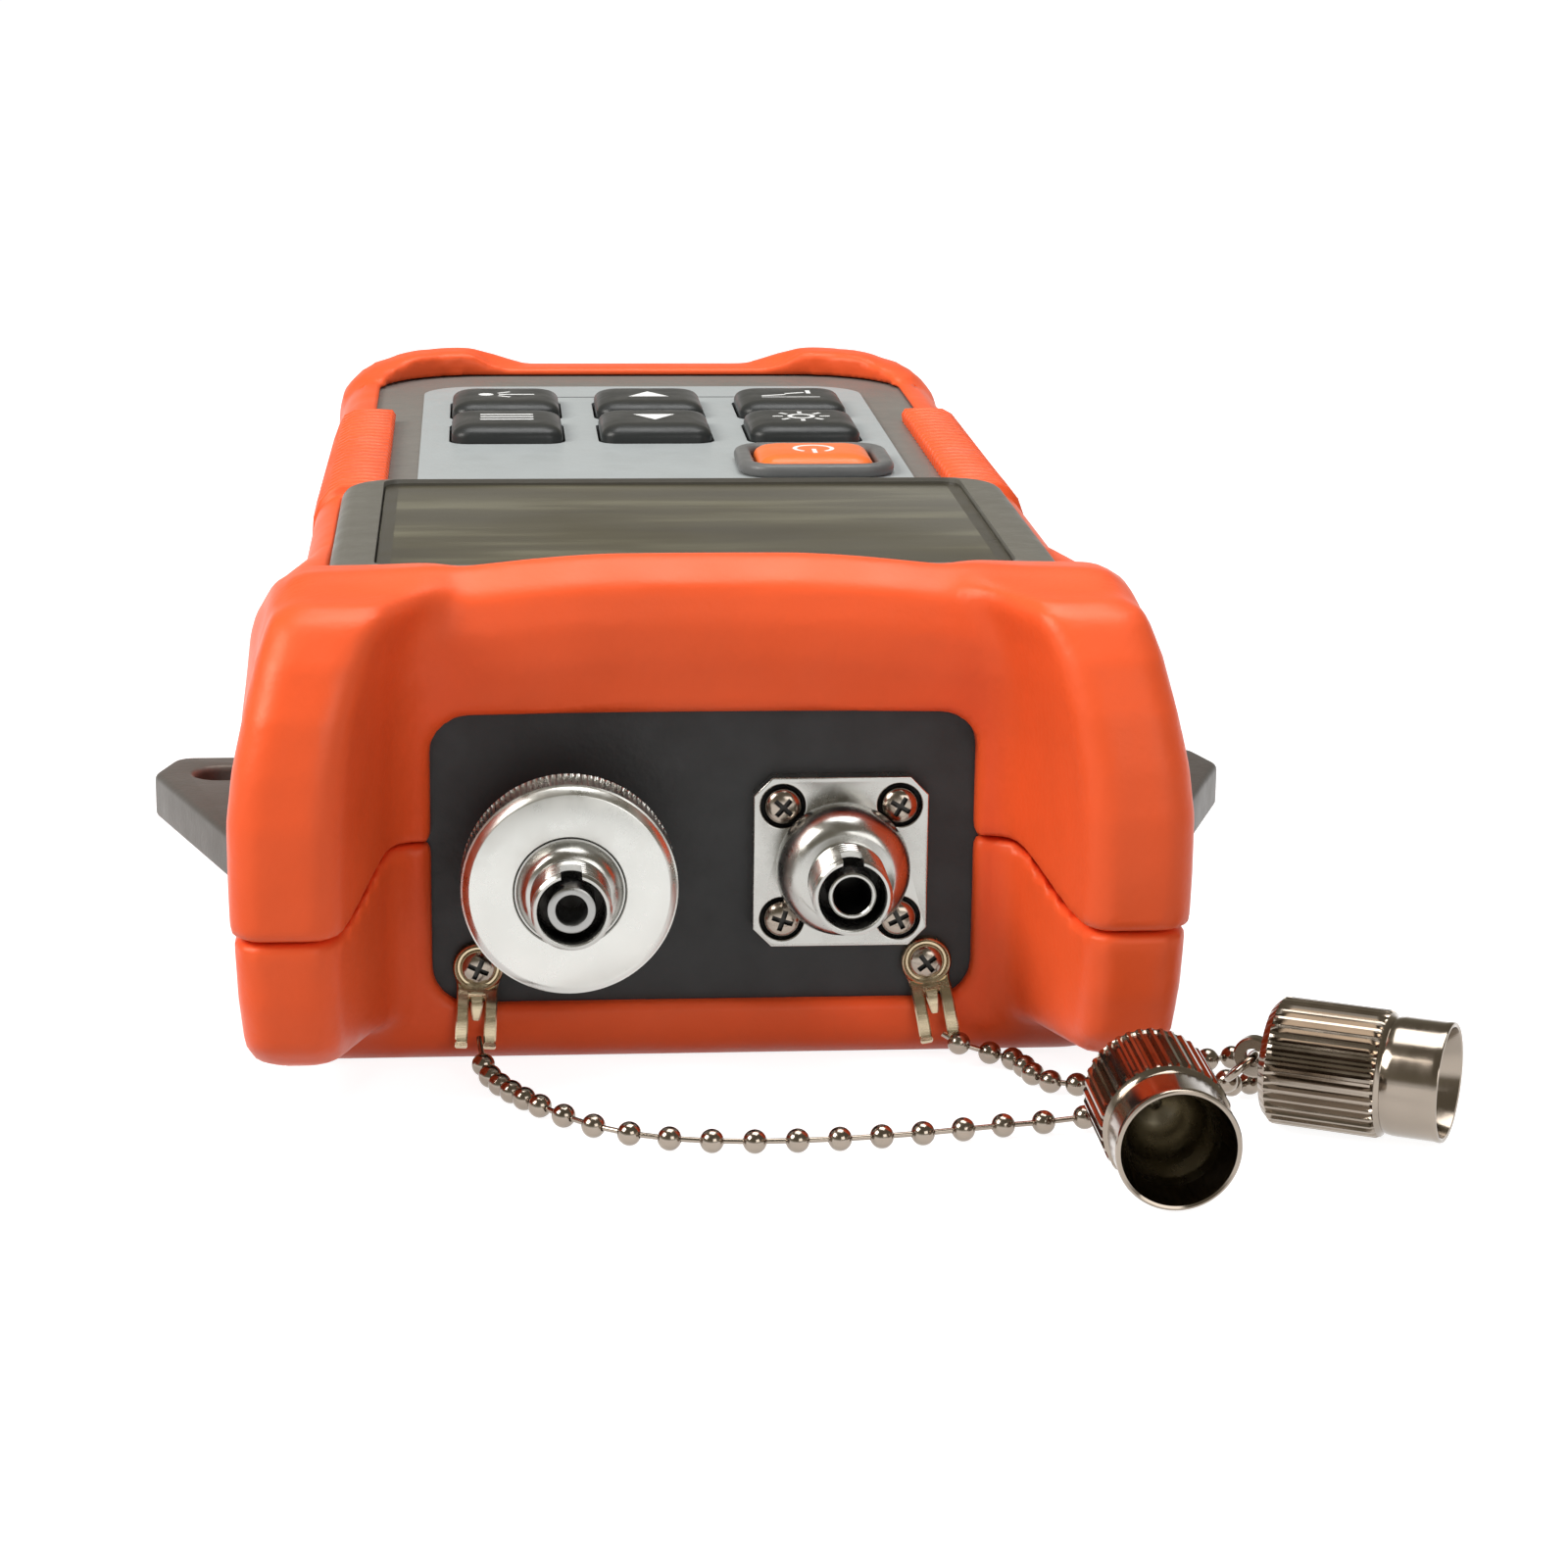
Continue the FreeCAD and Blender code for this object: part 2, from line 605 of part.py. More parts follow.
def upper_casing():
    half = block((-BUMPER_HALF, BUMPER_HALF), (FRONT, BACK), (CASE_SPLIT, LIP_TOP))
    casing = case_shell().common(half)
    bosses = []
    for x, y in case_screw_places():
        bosses.append(tube(BOSS_R, SCREW_R, (x, y, CASE_SPLIT), BOSS_TOP - CASE_SPLIT))
    for x, y in key_boss_places():
        bosses.append(tube(POST_R, M2_R - 0.05, (x, y, KEY_BOARD_TOP), CEILING - KEY_BOARD_TOP))
    casing = fuse([casing] + bosses)
    casing = casing.cut(lcd_space(FIT, CEILING - 1, DECK + 1))
    for x, y, depth in key_places():
        casing = casing.cut(key_prism(x, y, depth, KEY_GAP, CEILING - 1, DECK + 1))
    lugs = lug_plan(FIT)
    return casing.cut(lugs).cut(flip(lugs))


def lower_casing():
    half = block((-BUMPER_HALF, BUMPER_HALF), (FRONT, BACK), (0, CASE_SPLIT))
    casing = case_shell().common(half)
    posts = []
    for x, y in case_screw_places():
        posts.append(rod(BOSS_R, (x, y, POST_FOOT), CASE_SPLIT - POST_FOOT))
    for x, y in standoff_places():
        posts.append(rod(POST_R, (x, y, POST_FOOT), MAIN_BOARD_Z - POST_FOOT))
    for side in (-1, 1):
        start = (side * TAB_X, CASE_FRONT + WALL, TAB_Z)
        posts.append(rod(POST_R, start, 3.0, Y_AXIS))
        peg = (side * LUG_PEG_X, LUG_BACK - LUG_ROOT_LENGTH / 2, FLOOR)
        posts.append(rod(POST_R, peg, CASE_SPLIT - FLOOR))
        posts.append(rod(LUG_PEG_R, peg, LUG_TOP - FLOOR))
    casing = fuse([casing] + posts)
    for x, y in case_screw_places():
        casing = casing.cut(rod(SCREW_R + FIT, (x, y, 0), CASE_SPLIT + 1))
        casing = casing.cut(rod(SCREW_HEAD_R + FIT, (x, y, 0), CASE_BOTTOM + SCREW_HEAD))
    for x, y in standoff_places():
        depth = BOARD_SCREW + 2.0
        casing = casing.cut(rod(M2_R, (x, y, MAIN_BOARD_Z - depth), depth + 1))
    for side in (-1, 1):
        casing = casing.cut(rod(M2_R, (side * TAB_X, CASE_FRONT - 1, TAB_Z), TAB_SCREW + 1, Y_AXIS))
    bay = (CELL_X + CELL_R - 0.6, (CELL_FRONT - CONTACT, CELL_FRONT + CELL_LENGTH + CONTACT))
    casing = casing.cut(rounded_box(bay[0], bay[1], (CASE_BOTTOM - 1, FLOOR + 1), 1.5))
    for x, y in door_hook_places():
        across = (x - HOOK_HALF - FIT, x + HOOK_HALF + FIT)
        along = (y - FIT, y + DOOR_HOOK + DOOR_TRAVEL + FIT)
        casing = casing.cut(block(across, along, (CASE_BOTTOM - 1, FLOOR + 1)))
    return casing.cut(seal_loop(CASE_SPLIT - SEAL_HEIGHT, CASE_SPLIT + 1))


# --- display ---------------------------------------------------------------
def lcd_space(grow, z_low, z_high):
    lap = WINDOW_LAP
    return rounded_box(WINDOW_HALF - lap + grow, (WINDOW_FRONT + lap - grow, WINDOW_BACK - lap + grow),
                       (z_low, z_high), 1.0)


def display_frame():
    corners = mirrored([(FRAME_HALF, FRAME_FRONT, 1.0), (FRAME_HALF, FRAME_BACK, FRAME_CORNER)])
    frame = soften(plate(corners, DECK, FRAME_TOP), 1.0, (FRAME_TOP,))
    seat = rounded_box(WINDOW_HALF + FIT / 2, (WINDOW_FRONT - FIT / 2, WINDOW_BACK + FIT / 2),
                       (WINDOW_SEAT, FRAME_TOP + 1), 2.0)
    return frame.cut(seat).cut(lcd_space(0, DECK - 1, FRAME_TOP))


def display_window():
    return rounded_box(WINDOW_HALF, (WINDOW_FRONT, WINDOW_BACK), (WINDOW_SEAT, FRAME_TOP), 2.0)


def display_stack():
    """LCD, backlight and the bracket under them."""
    lcd_top = WINDOW_SEAT - FIT / 2
    lcd = lcd_space(-FIT, lcd_top - LCD_THICK, lcd_top)
    light_top = lcd_top - LCD_THICK
    light = lcd_space(-FIT, light_top - LIGHT_THICK, light_top)
    tray_top = light_top - LIGHT_THICK
    outer = lcd_space(WINDOW_LAP, tray_top - BRACKET_THICK, CEILING)
    inner = lcd_space(0, tray_top, CEILING)
    return lcd, light, outer.cut(inner)


# --- keypad ----------------------------------------------------------------
KEY_NAMES = [
    ("trace_key", 1, 1), ("down_key", 0, 1), ("laser_key", -1, 1),
    ("light_key", 1, 0), ("up_key", 0, 0), ("index_key", -1, 0)]


def key_places():
    """(x, y, depth) of the six grey keys and then the power key."""
    places = [(column * KEY_PITCH_X, KEY_ROW - (1 - row) * KEY_PITCH_Y, KEY_DEPTH)
              for name, column, row in KEY_NAMES]
    places.append((POWER_X, POWER_Y, POWER_DEPTH))
    return places


def key_prism(x, y, depth, grow, z_low, z_high):
    half = KEY_WIDTH / 2 + grow
    long = depth / 2 + grow
    radius = KEY_CORNER + grow
    corners = [(x + half, y - long, radius), (x + half, y + long, radius),
               (x - half, y + long, radius), (x - half, y - long, radius)]
    return plate(corners, z_low, z_high)


def key(x, y, depth):
    cap = soften(key_prism(x, y, depth, 0, FLANGE_BOTTOM, KEY_TOP), 0.8, (KEY_TOP,))
    flange = key_prism(x, y, depth, KEY_FLANGE, FLANGE_BOTTOM, FLANGE_BOTTOM + KEY_FLANGE_THICK)
    return cap.fuse(flange).removeSplitter()


def keypad_overlay():
    outline = mirrored([(OVERLAY_HALF, OVERLAY_FRONT, 1.5), (OVERLAY_HALF, OVERLAY_BACK, 7.0)])
    sheet = plate(outline, DECK, DECK + OVERLAY_THICK)
    for x, y, depth in key_places():
        sheet = sheet.cut(key_prism(x, y, depth, KEY_GAP, DECK - 1, DECK + 2))
    return sheet


def power_key_ring():
    base = DECK + OVERLAY_THICK
    place = (POWER_X, POWER_Y, POWER_DEPTH)
    ring = key_prism(*place, KEY_GAP + RING_WIDTH, base, RING_TOP)
    ring = soften(ring, 0.8, (RING_TOP,))
    return ring.cut(key_prism(*place, KEY_GAP, base - 1, RING_TOP + 1))


def key_parts():
    """Board, snap domes and rubber mat under the keys, and the board's screws."""
    span = (OVERLAY_FRONT - 2.5, OVERLAY_BACK)
    board = block((-KEY_BOARD_HALF, KEY_BOARD_HALF), span, (KEY_BOARD_Z, KEY_BOARD_TOP))
    mat_low = KEY_BOARD_TOP + DOME_DISC
    pad_top = FLANGE_BOTTOM - KEY_TRAVEL - FIT / 2
    mat = block((-OVERLAY_HALF + 2, OVERLAY_HALF - 2), (OVERLAY_FRONT + 1, OVERLAY_BACK - 1),
                (mat_low, mat_low + MAT_THICK))
    pads = [rod(MAT_PAD_R, (x, y, mat_low), pad_top - mat_low) for x, y, depth in key_places()]
    domes = [rod(DOME_DISC_R, (x, y, KEY_BOARD_TOP), DOME_DISC) for x, y, depth in key_places()]
    screws = []
    for x, y in key_boss_places():
        board = board.cut(rod(M2_R, (x, y, KEY_BOARD_Z - 1), BOARD_THICK + 2))
        start = (x, y, KEY_BOARD_Z)
        screws.append(pan_screw(M2_HEAD_R, M2_HEAD, M2_R - 0.05, KEY_SCREW, start, Z_AXIS * -1))
    return board, group(domes), fuse([mat] + pads), group(screws)


# --- ports -----------------------------------------------------------------
def keyed_barrel(x, tip, length):
    """Threaded barrel of an FC port along Y, open at the tip, with its keyway on top."""
    barrel = rod(BARREL_R, (x, tip, PORT_Z), length, Y_AXIS)
    barrel = barrel.cut(rod(BARREL_BORE_R, (x, tip - 1, PORT_Z), length + 2, Y_AXIS))
    notch = block((x - KEYWAY / 2, x + KEYWAY / 2), (tip - 1, tip + KEYWAY_DEPTH),
                  (PORT_Z, PORT_Z + BARREL_R + 1))
    return barrel.cut(notch)


def guide_sleeve(x, tip, length):
    """Inner sleeve that lines up the ferrules."""
    start = (x, tip, PORT_Z)
    sleeve = tube(SLEEVE_R, FERRULE_R, start, length, Y_AXIS)
    return sleeve.cut(rod(SLEEVE_MOUTH_R, (x, tip - 1, PORT_Z), SLEEVE_MOUTH + 1, Y_AXIS))


def flange_corners():
    half = FLANGE_PITCH / 2
    return [(PORT_X + i * half, PORT_Z + k * half) for i in (-1, 1) for k in (-1, 1)]


def test_port():
    """Square flange, domed shoulder and barrel, with the sleeve in it."""
    side = FLANGE_SIDE / 2
    cut = FLANGE_CHAMFER
    outline = [(-side, -side + cut), (-side + cut, -side), (side - cut, -side), (side, -side + cut),
               (side, side - cut), (side - cut, side), (-side + cut, side), (-side, side - cut)]
    points = [V(PORT_X + u, FLANGE_FACE, PORT_Z + v) for u, v in outline]
    points.append(points[0])
    flange = Part.Face(Part.makePolygon(points)).extrude(V(0, FLANGE_THICK, 0))
    for x, z in flange_corners():
        flange = flange.cut(rod(M2_R + 0.1, (x, FLANGE_FACE - 1, z), FLANGE_THICK + 2, Y_AXIS))
    tip = PANEL_FACE - TEST_REACH
    dome = turned([(0, 0), (0, DOME_R), (2.2, DOME_R), (4.4, 5.8), (DOME_LENGTH, BARREL_R + 0.6),
                   (DOME_LENGTH, 0)], (PORT_X, FLANGE_FACE, PORT_Z), Y_AXIS * -1)
    rear = rod(TEST_REAR_R, (PORT_X, PANEL_FACE, PORT_Z), PORT_REAR, Y_AXIS)
    body = fuse([flange, dome, rear])
    bore = rod(BARREL_BORE_R, (PORT_X, tip, PORT_Z), TEST_REACH + 2.0, Y_AXIS)
    rear_bore = rod(SLEEVE_R, (PORT_X, PANEL_FACE, PORT_Z), PORT_REAR + 1, Y_AXIS)
    barrel = keyed_barrel(PORT_X, tip, TEST_REACH - FLANGE_THICK)
    body = fuse([body.cut(bore).cut(rear_bore), barrel])
    sleeve = guide_sleeve(PORT_X, tip + 0.5, TEST_REACH + PORT_REAR - 2.0)
    return body, sleeve


def flange_screws():
    screws = []
    for x, z in flange_corners():
        start = (x, FLANGE_FACE, z)
        screws.append(pan_screw(M2_HEAD_R, M2_HEAD, M2_R, FLANGE_SCREW, start, Y_AXIS * -1))
    return group(screws)


def laser_port():
    """Threaded stub on the panel, the insert that slides in it and the nut that holds it."""
    x = -PORT_X
    stub = tube(STUB_R, STUB_BORE_R, (x, STUB_FRONT, PORT_Z), STUB_LENGTH + PORT_REAR - 6.0, Y_AXIS)
    key_slot = block((x - 1.0, x + 1.0), (STUB_FRONT - 1, STUB_FRONT + INSERT_TAIL + 1),
                     (PORT_Z - STUB_BORE_R - 0.9, PORT_Z))
    stub = stub.cut(key_slot)
    collar = rod(INSERT_COLLAR_R, (x, COLLAR_FRONT, PORT_Z), INSERT_COLLAR, Y_AXIS)
    spigot = rod(INSERT_R, (x, NUT_FRONT, PORT_Z), STUB_FRONT + INSERT_TAIL - NUT_FRONT, Y_AXIS)
    key_rib = block((x - 0.8, x + 0.8), (STUB_FRONT - 0.2, STUB_FRONT + INSERT_TAIL),
                    (PORT_Z - STUB_BORE_R - 0.6, PORT_Z - INSERT_R + 1))
    tip = NUT_FRONT - INSERT_REACH
    insert = fuse([collar, spigot, key_rib])
    insert = insert.cut(rod(BARREL_BORE_R, (x, NUT_FRONT - 1, PORT_Z), 3.0, Y_AXIS))
    through = STUB_FRONT + INSERT_TAIL - NUT_FRONT + 2.0
    insert = insert.cut(rod(SLEEVE_R, (x, NUT_FRONT - 1, PORT_Z), through, Y_AXIS))
    insert = fuse([insert, keyed_barrel(x, tip, INSERT_REACH + 1.0)])
    sleeve = guide_sleeve(x, tip + 0.5, STUB_FRONT + INSERT_TAIL - tip - 1.0)
    return stub, insert, sleeve, coupling_nut(x)


def fluting(radius, count, groove, middle, length):
    """Round grooves along Y, evenly spaced about the middle's axis."""
    grooves = []
    reach = radius + groove / 2
    for i in range(count):
        angle = 2 * math.pi * i / count
        offset = V(reach * math.cos(angle), 0, reach * math.sin(angle))
        grooves.append(rod(groove, V(*middle).add(offset), length, Y_AXIS))
    return group(grooves)


def coupling_nut(x):
    nut = rod(NUT_R, (x, NUT_FRONT, PORT_Z), NUT_THICK, Y_AXIS)
    hollow = rod(STUB_R + NUT_FIT, (x, NUT_FRONT + NUT_FACE, PORT_Z), NUT_THICK, Y_AXIS)
    nut = nut.cut(hollow).cut(rod(NUT_HOLE_R, (x, NUT_FRONT - 1, PORT_Z), NUT_THICK, Y_AXIS))
    middle = (x, NUT_FRONT + NUT_FLUTE_START, PORT_Z)
    return nut.cut(fluting(NUT_R, NUT_FLUTES, NUT_FLUTE_R, middle, NUT_THICK))


def end_panel():
    panel = panel_plate(PANEL_LAP - FIT / 2, PANEL_FACE, PANEL_THICK)
    holes = [(M2_R, x, z) for x, z in flange_corners()]
    holes += [(M2_R, side * TAB_X, TAB_Z) for side in (-1, 1)]
    holes += [(STUB_R, -PORT_X, PORT_Z), (TEST_REAR_R, PORT_X, PORT_Z)]
    for radius, x, z in holes:
        panel = panel.cut(rod(radius, (x, PANEL_FACE - 1, z), PANEL_THICK + 2, Y_AXIS))
    return panel


# --- chain tabs ------------------------------------------------------------
def chain_tab():
    """Right tab: an eye under its screw, bent forward into two fingers."""
    face = PANEL_FACE
    out = face - TAB_STANDOFF
    bend_z = TAB_Z - TAB_EYE_R - TAB_BEND
    profile = [
        (face, TAB_Z), (face, TAB_Z - TAB_EYE_R + 0.25), (out, bend_z), (out, TAB_END_Z),
        (out - TAB_THICK, TAB_END_Z), (out - TAB_THICK, bend_z + 0.3),
        (face - TAB_THICK, TAB_Z - TAB_EYE_R + 0.55), (face - TAB_THICK, TAB_Z)]
    points = [V(TAB_X - TAB_WIDTH / 2, y, z) for y, z in profile]
    points.append(points[0])
    strap = Part.Face(Part.makePolygon(points)).extrude(V(TAB_WIDTH, 0, 0))
    slot = block((TAB_X - TAB_SLOT / 2, TAB_X + TAB_SLOT / 2), (out - 2, out + 1), (0, bend_z))
    eye = rod(TAB_EYE_R, (TAB_X, face - TAB_THICK, TAB_Z), TAB_THICK, Y_AXIS)
    tab = fuse([strap.cut(slot), eye])
    return tab.cut(rod(M2_R + 0.1, (TAB_X, face - 2, TAB_Z), 4, Y_AXIS))


def chain_tabs():
    left = flip(chain_tab())
    right = chain_tab()
    right.rotate(V(TAB_X, PANEL_FACE, TAB_Z), Y_AXIS, TAB_SWING)
    screws = []
    for side in (-1, 1):
        start = (side * TAB_X, PANEL_FACE - TAB_THICK, TAB_Z)
        screws.append(pan_screw(M2_HEAD_R, M2_HEAD, M2_R, TAB_SCREW, start, Y_AXIS * -1))
    return left, right, group(screws)


# --- inside ----------------------------------------------------------------
def main_board():
    board = block((-MAIN_BOARD_HALF, MAIN_BOARD_HALF), (MAIN_BOARD_FRONT, MAIN_BOARD_BACK),
                  (MAIN_BOARD_Z, BOARD_TOP))
    for x, y in case_screw_places():
        board = board.cut(rod(BOSS_R + 0.4, (x, y, MAIN_BOARD_Z - 1), BOARD_THICK + 2))
    screws = []
    for x, y in standoff_places():
        board = board.cut(rod(M2_R, (x, y, MAIN_BOARD_Z - 1), BOARD_THICK + 2))
        start = (x, y, BOARD_TOP)
        screws.append(pan_screw(M2_HEAD_R, M2_HEAD, M2_R - 0.05, BOARD_SCREW, start, Z_AXIS))
    across = (SHIELD_MID - SHIELD_WIDTH / 2, SHIELD_MID + SHIELD_WIDTH / 2)
    front = MAIN_BOARD_FRONT + SHIELD_START
    shield = block(across, (front, front + SHIELD_DEPTH), (BOARD_TOP, BOARD_TOP + SHIELD_HEIGHT))
    front = MAIN_BOARD_BACK - LINK_INSET
    link = block((-LINK_WIDTH / 2, LINK_WIDTH / 2), (front, front + LINK_DEPTH), (BOARD_TOP, KEY_BOARD_Z))
    return board, group(screws), shield, link


def optics():
    """Measuring module, its fibre from the test port, and the red fault laser."""
    front = PANEL_FACE + PORT_REAR + fibre_length()
    right = PORT_X + FIBRE_SHIFT + MODULE_SIDE
    across = (right - MODULE_WIDTH, right)
    module = block(across, (front, front + MODULE_DEPTH), (FLOOR, FLOOR + MODULE_HEIGHT))
    start = STUB_FRONT + STUB_LENGTH + PORT_REAR - 6.0
    laser = rod(LASER_R, (-PORT_X, start, PORT_Z), LASER_LENGTH, Y_AXIS)
    across = (-PORT_X - LASER_R, -PORT_X + LASER_R)
    cradle = block(across, (start + 4, start + LASER_LENGTH - 4), (FLOOR, PORT_Z))
    cradle = cradle.cut(rod(LASER_R, (-PORT_X, start, PORT_Z), LASER_LENGTH, Y_AXIS))
    return module, laser, cradle


def fibre_turn():
    """Angle of each bend in the S from the port to the module."""
    return math.acos(1 - FIBRE_SHIFT / (2 * FIBRE_BEND))


def fibre_length():
    return 2 * FIBRE_BEND * math.sin(fibre_turn())


def fibre_pigtail():
    """Two equal bends side by side, swept with the fibre's section."""
    angle = fibre_turn()
    start = V(PORT_X, PANEL_FACE + PORT_REAR, PORT_Z)
    end = start.add(V(FIBRE_SHIFT, fibre_length(), 0))
    middle = start.add(end) * 0.5

    def on_first(turn):
        return start.add(V(FIBRE_BEND * (1 - math.cos(turn)), FIBRE_BEND * math.sin(turn), 0))

    def on_second(turn):
        return end.sub(V(FIBRE_BEND * (1 - math.cos(turn)), FIBRE_BEND * math.sin(turn), 0))

    path = Part.Wire([Part.Arc(start, on_first(angle / 2), middle).toShape(),
                      Part.Arc(middle, on_second(angle / 2), end).toShape()])
    return sweep_round(path, FIBRE_R, start, Y_AXIS)


def sweep_round(path, radius, start, direction):
    circle = Part.Wire([Part.Circle(start, direction, radius).toShape()])
    return path.makePipeShell([circle], True, False)


def battery():
    cells = []
    for side in (-1, 1):
        cells.append(rod(CELL_R, (side * CELL_X, CELL_FRONT, CELL_Z), CELL_LENGTH, Y_AXIS))
    outer = rounded_box(TRAY_HALF, (TRAY_FRONT, TRAY_BACK), (FLOOR, FLOOR + TRAY_HEIGHT), 1.5)
    inner = block((-TRAY_HALF + TRAY_WALL, TRAY_HALF - TRAY_WALL),
                  (TRAY_FRONT + TRAY_WALL, TRAY_BACK - TRAY_WALL), (FLOOR, FLOOR + TRAY_HEIGHT))
    tray = outer.cut(inner)
    contacts = []
    for side in (-1, 1):
        for y in (CELL_FRONT - CONTACT, CELL_FRONT + CELL_LENGTH):
            x = side * CELL_X
            contacts.append(block((x - 6, x + 6), (y, y + CONTACT), (FLOOR + 1, FLOOR + TRAY_HEIGHT)))
    return cells, tray, group(contacts)


def door_hook_places():
    first = CELL_FRONT + HOOK_START
    return [(side * (TRAY_HALF + HOOK_OUT), y) for side in (-1, 1) for y in (first, first + HOOK_PITCH)]


def battery_door():
    door = rounded_box(DOOR_HALF, (DOOR_FRONT, DOOR_BACK), (DOOR_TOP - DOOR_THICK, DOOR_TOP), 1.8)
    hooks = [block((x - HOOK_HALF, x + HOOK_HALF), (y, y + DOOR_HOOK), (DOOR_TOP - 0.5, FLOOR + 0.6))
             for x, y in door_hook_places()]
    ribs = []
    outside = DOOR_TOP - DOOR_THICK
    for i in range(DOOR_RIBS):
        y = DOOR_BACK - DOOR_RIB_START - 2 * DOOR_RIB * i
        rib = block((-DOOR_RIB_HALF, DOOR_RIB_HALF), (y - DOOR_RIB, y), (outside - 0.4, outside + 0.2))
        ribs.append(rib)
    return fuse([door] + hooks + ribs)


def strap_lug():
    lug = lug_plan()
    y_high = LUG_BACK - LUG_SLOT_FROM_BACK + LUG_SLOT_WIDTH / 2
    y_low = y_high - LUG_SLOT_WIDTH
    radius = LUG_SLOT_WIDTH / 2 - 0.01
    corners = [(LUG_SLOT_INNER, y_low, radius), (LUG_SLOT_OUTER, y_low, radius),
               (LUG_SLOT_OUTER, y_high, radius), (LUG_SLOT_INNER, y_high, radius)]
    lug = lug.cut(plate(corners, CASE_SPLIT - 1, LUG_TOP + 1))
    peg = (LUG_PEG_X, LUG_BACK - LUG_ROOT_LENGTH / 2, CASE_SPLIT - 1)
    return lug.cut(rod(LUG_PEG_R + 0.05, peg, LUG_THICK + 2))


# --- dust caps and chains --------------------------------------------------
def dust_cap():
    """Cap along +Y from its rear face at the origin, mouth end last."""
    neck = CAP_LENGTH - CAP_MOUTH
    profile = [
        (0, 0), (0, CAP_R - 0.6), (0.6, CAP_R), (CAP_KNURL, CAP_R), (CAP_KNURL + 0.5, CAP_COLLAR_R),
        (CAP_LENGTH, CAP_COLLAR_R), (CAP_LENGTH, CAP_MOUTH_R), (neck, CAP_BORE_R),
        (CAP_LENGTH - CAP_BORE + 2.0, CAP_BORE_R), (CAP_LENGTH - CAP_BORE, CAP_BORE_R - 2.0),
        (CAP_LENGTH - CAP_BORE, 0)]
    cap = turned(profile, (0, 0, 0), Y_AXIS)
    start = (0, CAP_FLUTE_START, 0)
    cap = cap.cut(fluting(CAP_R, CAP_FLUTES, CAP_FLUTE_R, start, CAP_KNURL - CAP_FLUTE_START))
    half = CAP_EYE_THICK / 2
    eye = rod(CAP_EYE, (-half, -CAP_EYE + 0.4, 0), CAP_EYE_THICK, X_AXIS)
    web = block((-half, half), (-CAP_EYE + 0.4, 0.2), (-CAP_EYE, CAP_EYE))
    cap = fuse([cap, eye, web])
    return cap.cut(rod(CAP_EYE_HOLE, (-half - 1, -CAP_EYE + 0.4, 0), CAP_EYE_THICK + 2, X_AXIS))


def cap_ring():
    """Wire ring through the cap's eye, hanging back and down at 45 degrees."""
    slope = math.sqrt(0.5) * RING_MAJOR
    return Part.makeTorus(RING_MAJOR, RING_MINOR, V(0, -CAP_EYE + 0.4 - slope, -slope), V(0, 1, -1))


def set_down(shape, place):
    """Lay a cap-fixed piece on the floor with its mouth at (x, y), turned about Z."""
    x, y, turn = place
    placed = shape.copy()
    placed.rotate(V(0, 0, 0), Z_AXIS, 180)
    placed.rotate(V(0, 0, 0), Z_AXIS, turn)
    angle = math.radians(turn)
    rear = V(x - CAP_LENGTH * math.sin(angle), y + CAP_LENGTH * math.cos(angle), CAP_R)
    placed.translate(rear)
    return placed


def chain_tube(name, route):
    """Plain tube along straight runs joined by arcs as large as the runs allow."""
    points = [V(*p) for p in route]
    edges = []
    radii = []
    at = points[0]
    for before, corner, after in zip(points, points[1:], points[2:]):
        back = before.sub(corner)
        ahead = after.sub(corner)
        run = min(back.Length, ahead.Length)
        half = (math.pi - back.getAngle(ahead)) / 2
        reach = 0.45 * run
        radius = reach / math.tan(half)
        radii.append(radius)
        start = corner.add(back.normalize() * reach)
        end = corner.add(ahead.normalize() * reach)
        inward = back.add(ahead).normalize()
        middle = corner.add(inward * (radius / math.cos(half) - radius))
        edges.append(Part.LineSegment(at, start).toShape())
        edges.append(Part.Arc(start, middle, end).toShape())
        at = end
    edges.append(Part.LineSegment(at, points[-1]).toShape())
    path = Part.Wire(edges)
    solid = sweep_round(path, BEAD_R, points[0], points[1].sub(points[0]))
    ideal = math.pi * BEAD_R ** 2 * path.Length
    print(f"{name}: length {path.Length:.1f}, volume {solid.Volume / ideal:.4f} of ideal, "
          f"smallest radius {min(radii):.1f}")
    return solid


def save(name, shape):
    if not shape.isValid():
        print("NOT VALID:", name)
    shape.exportStep(f"parts/{name}.step")


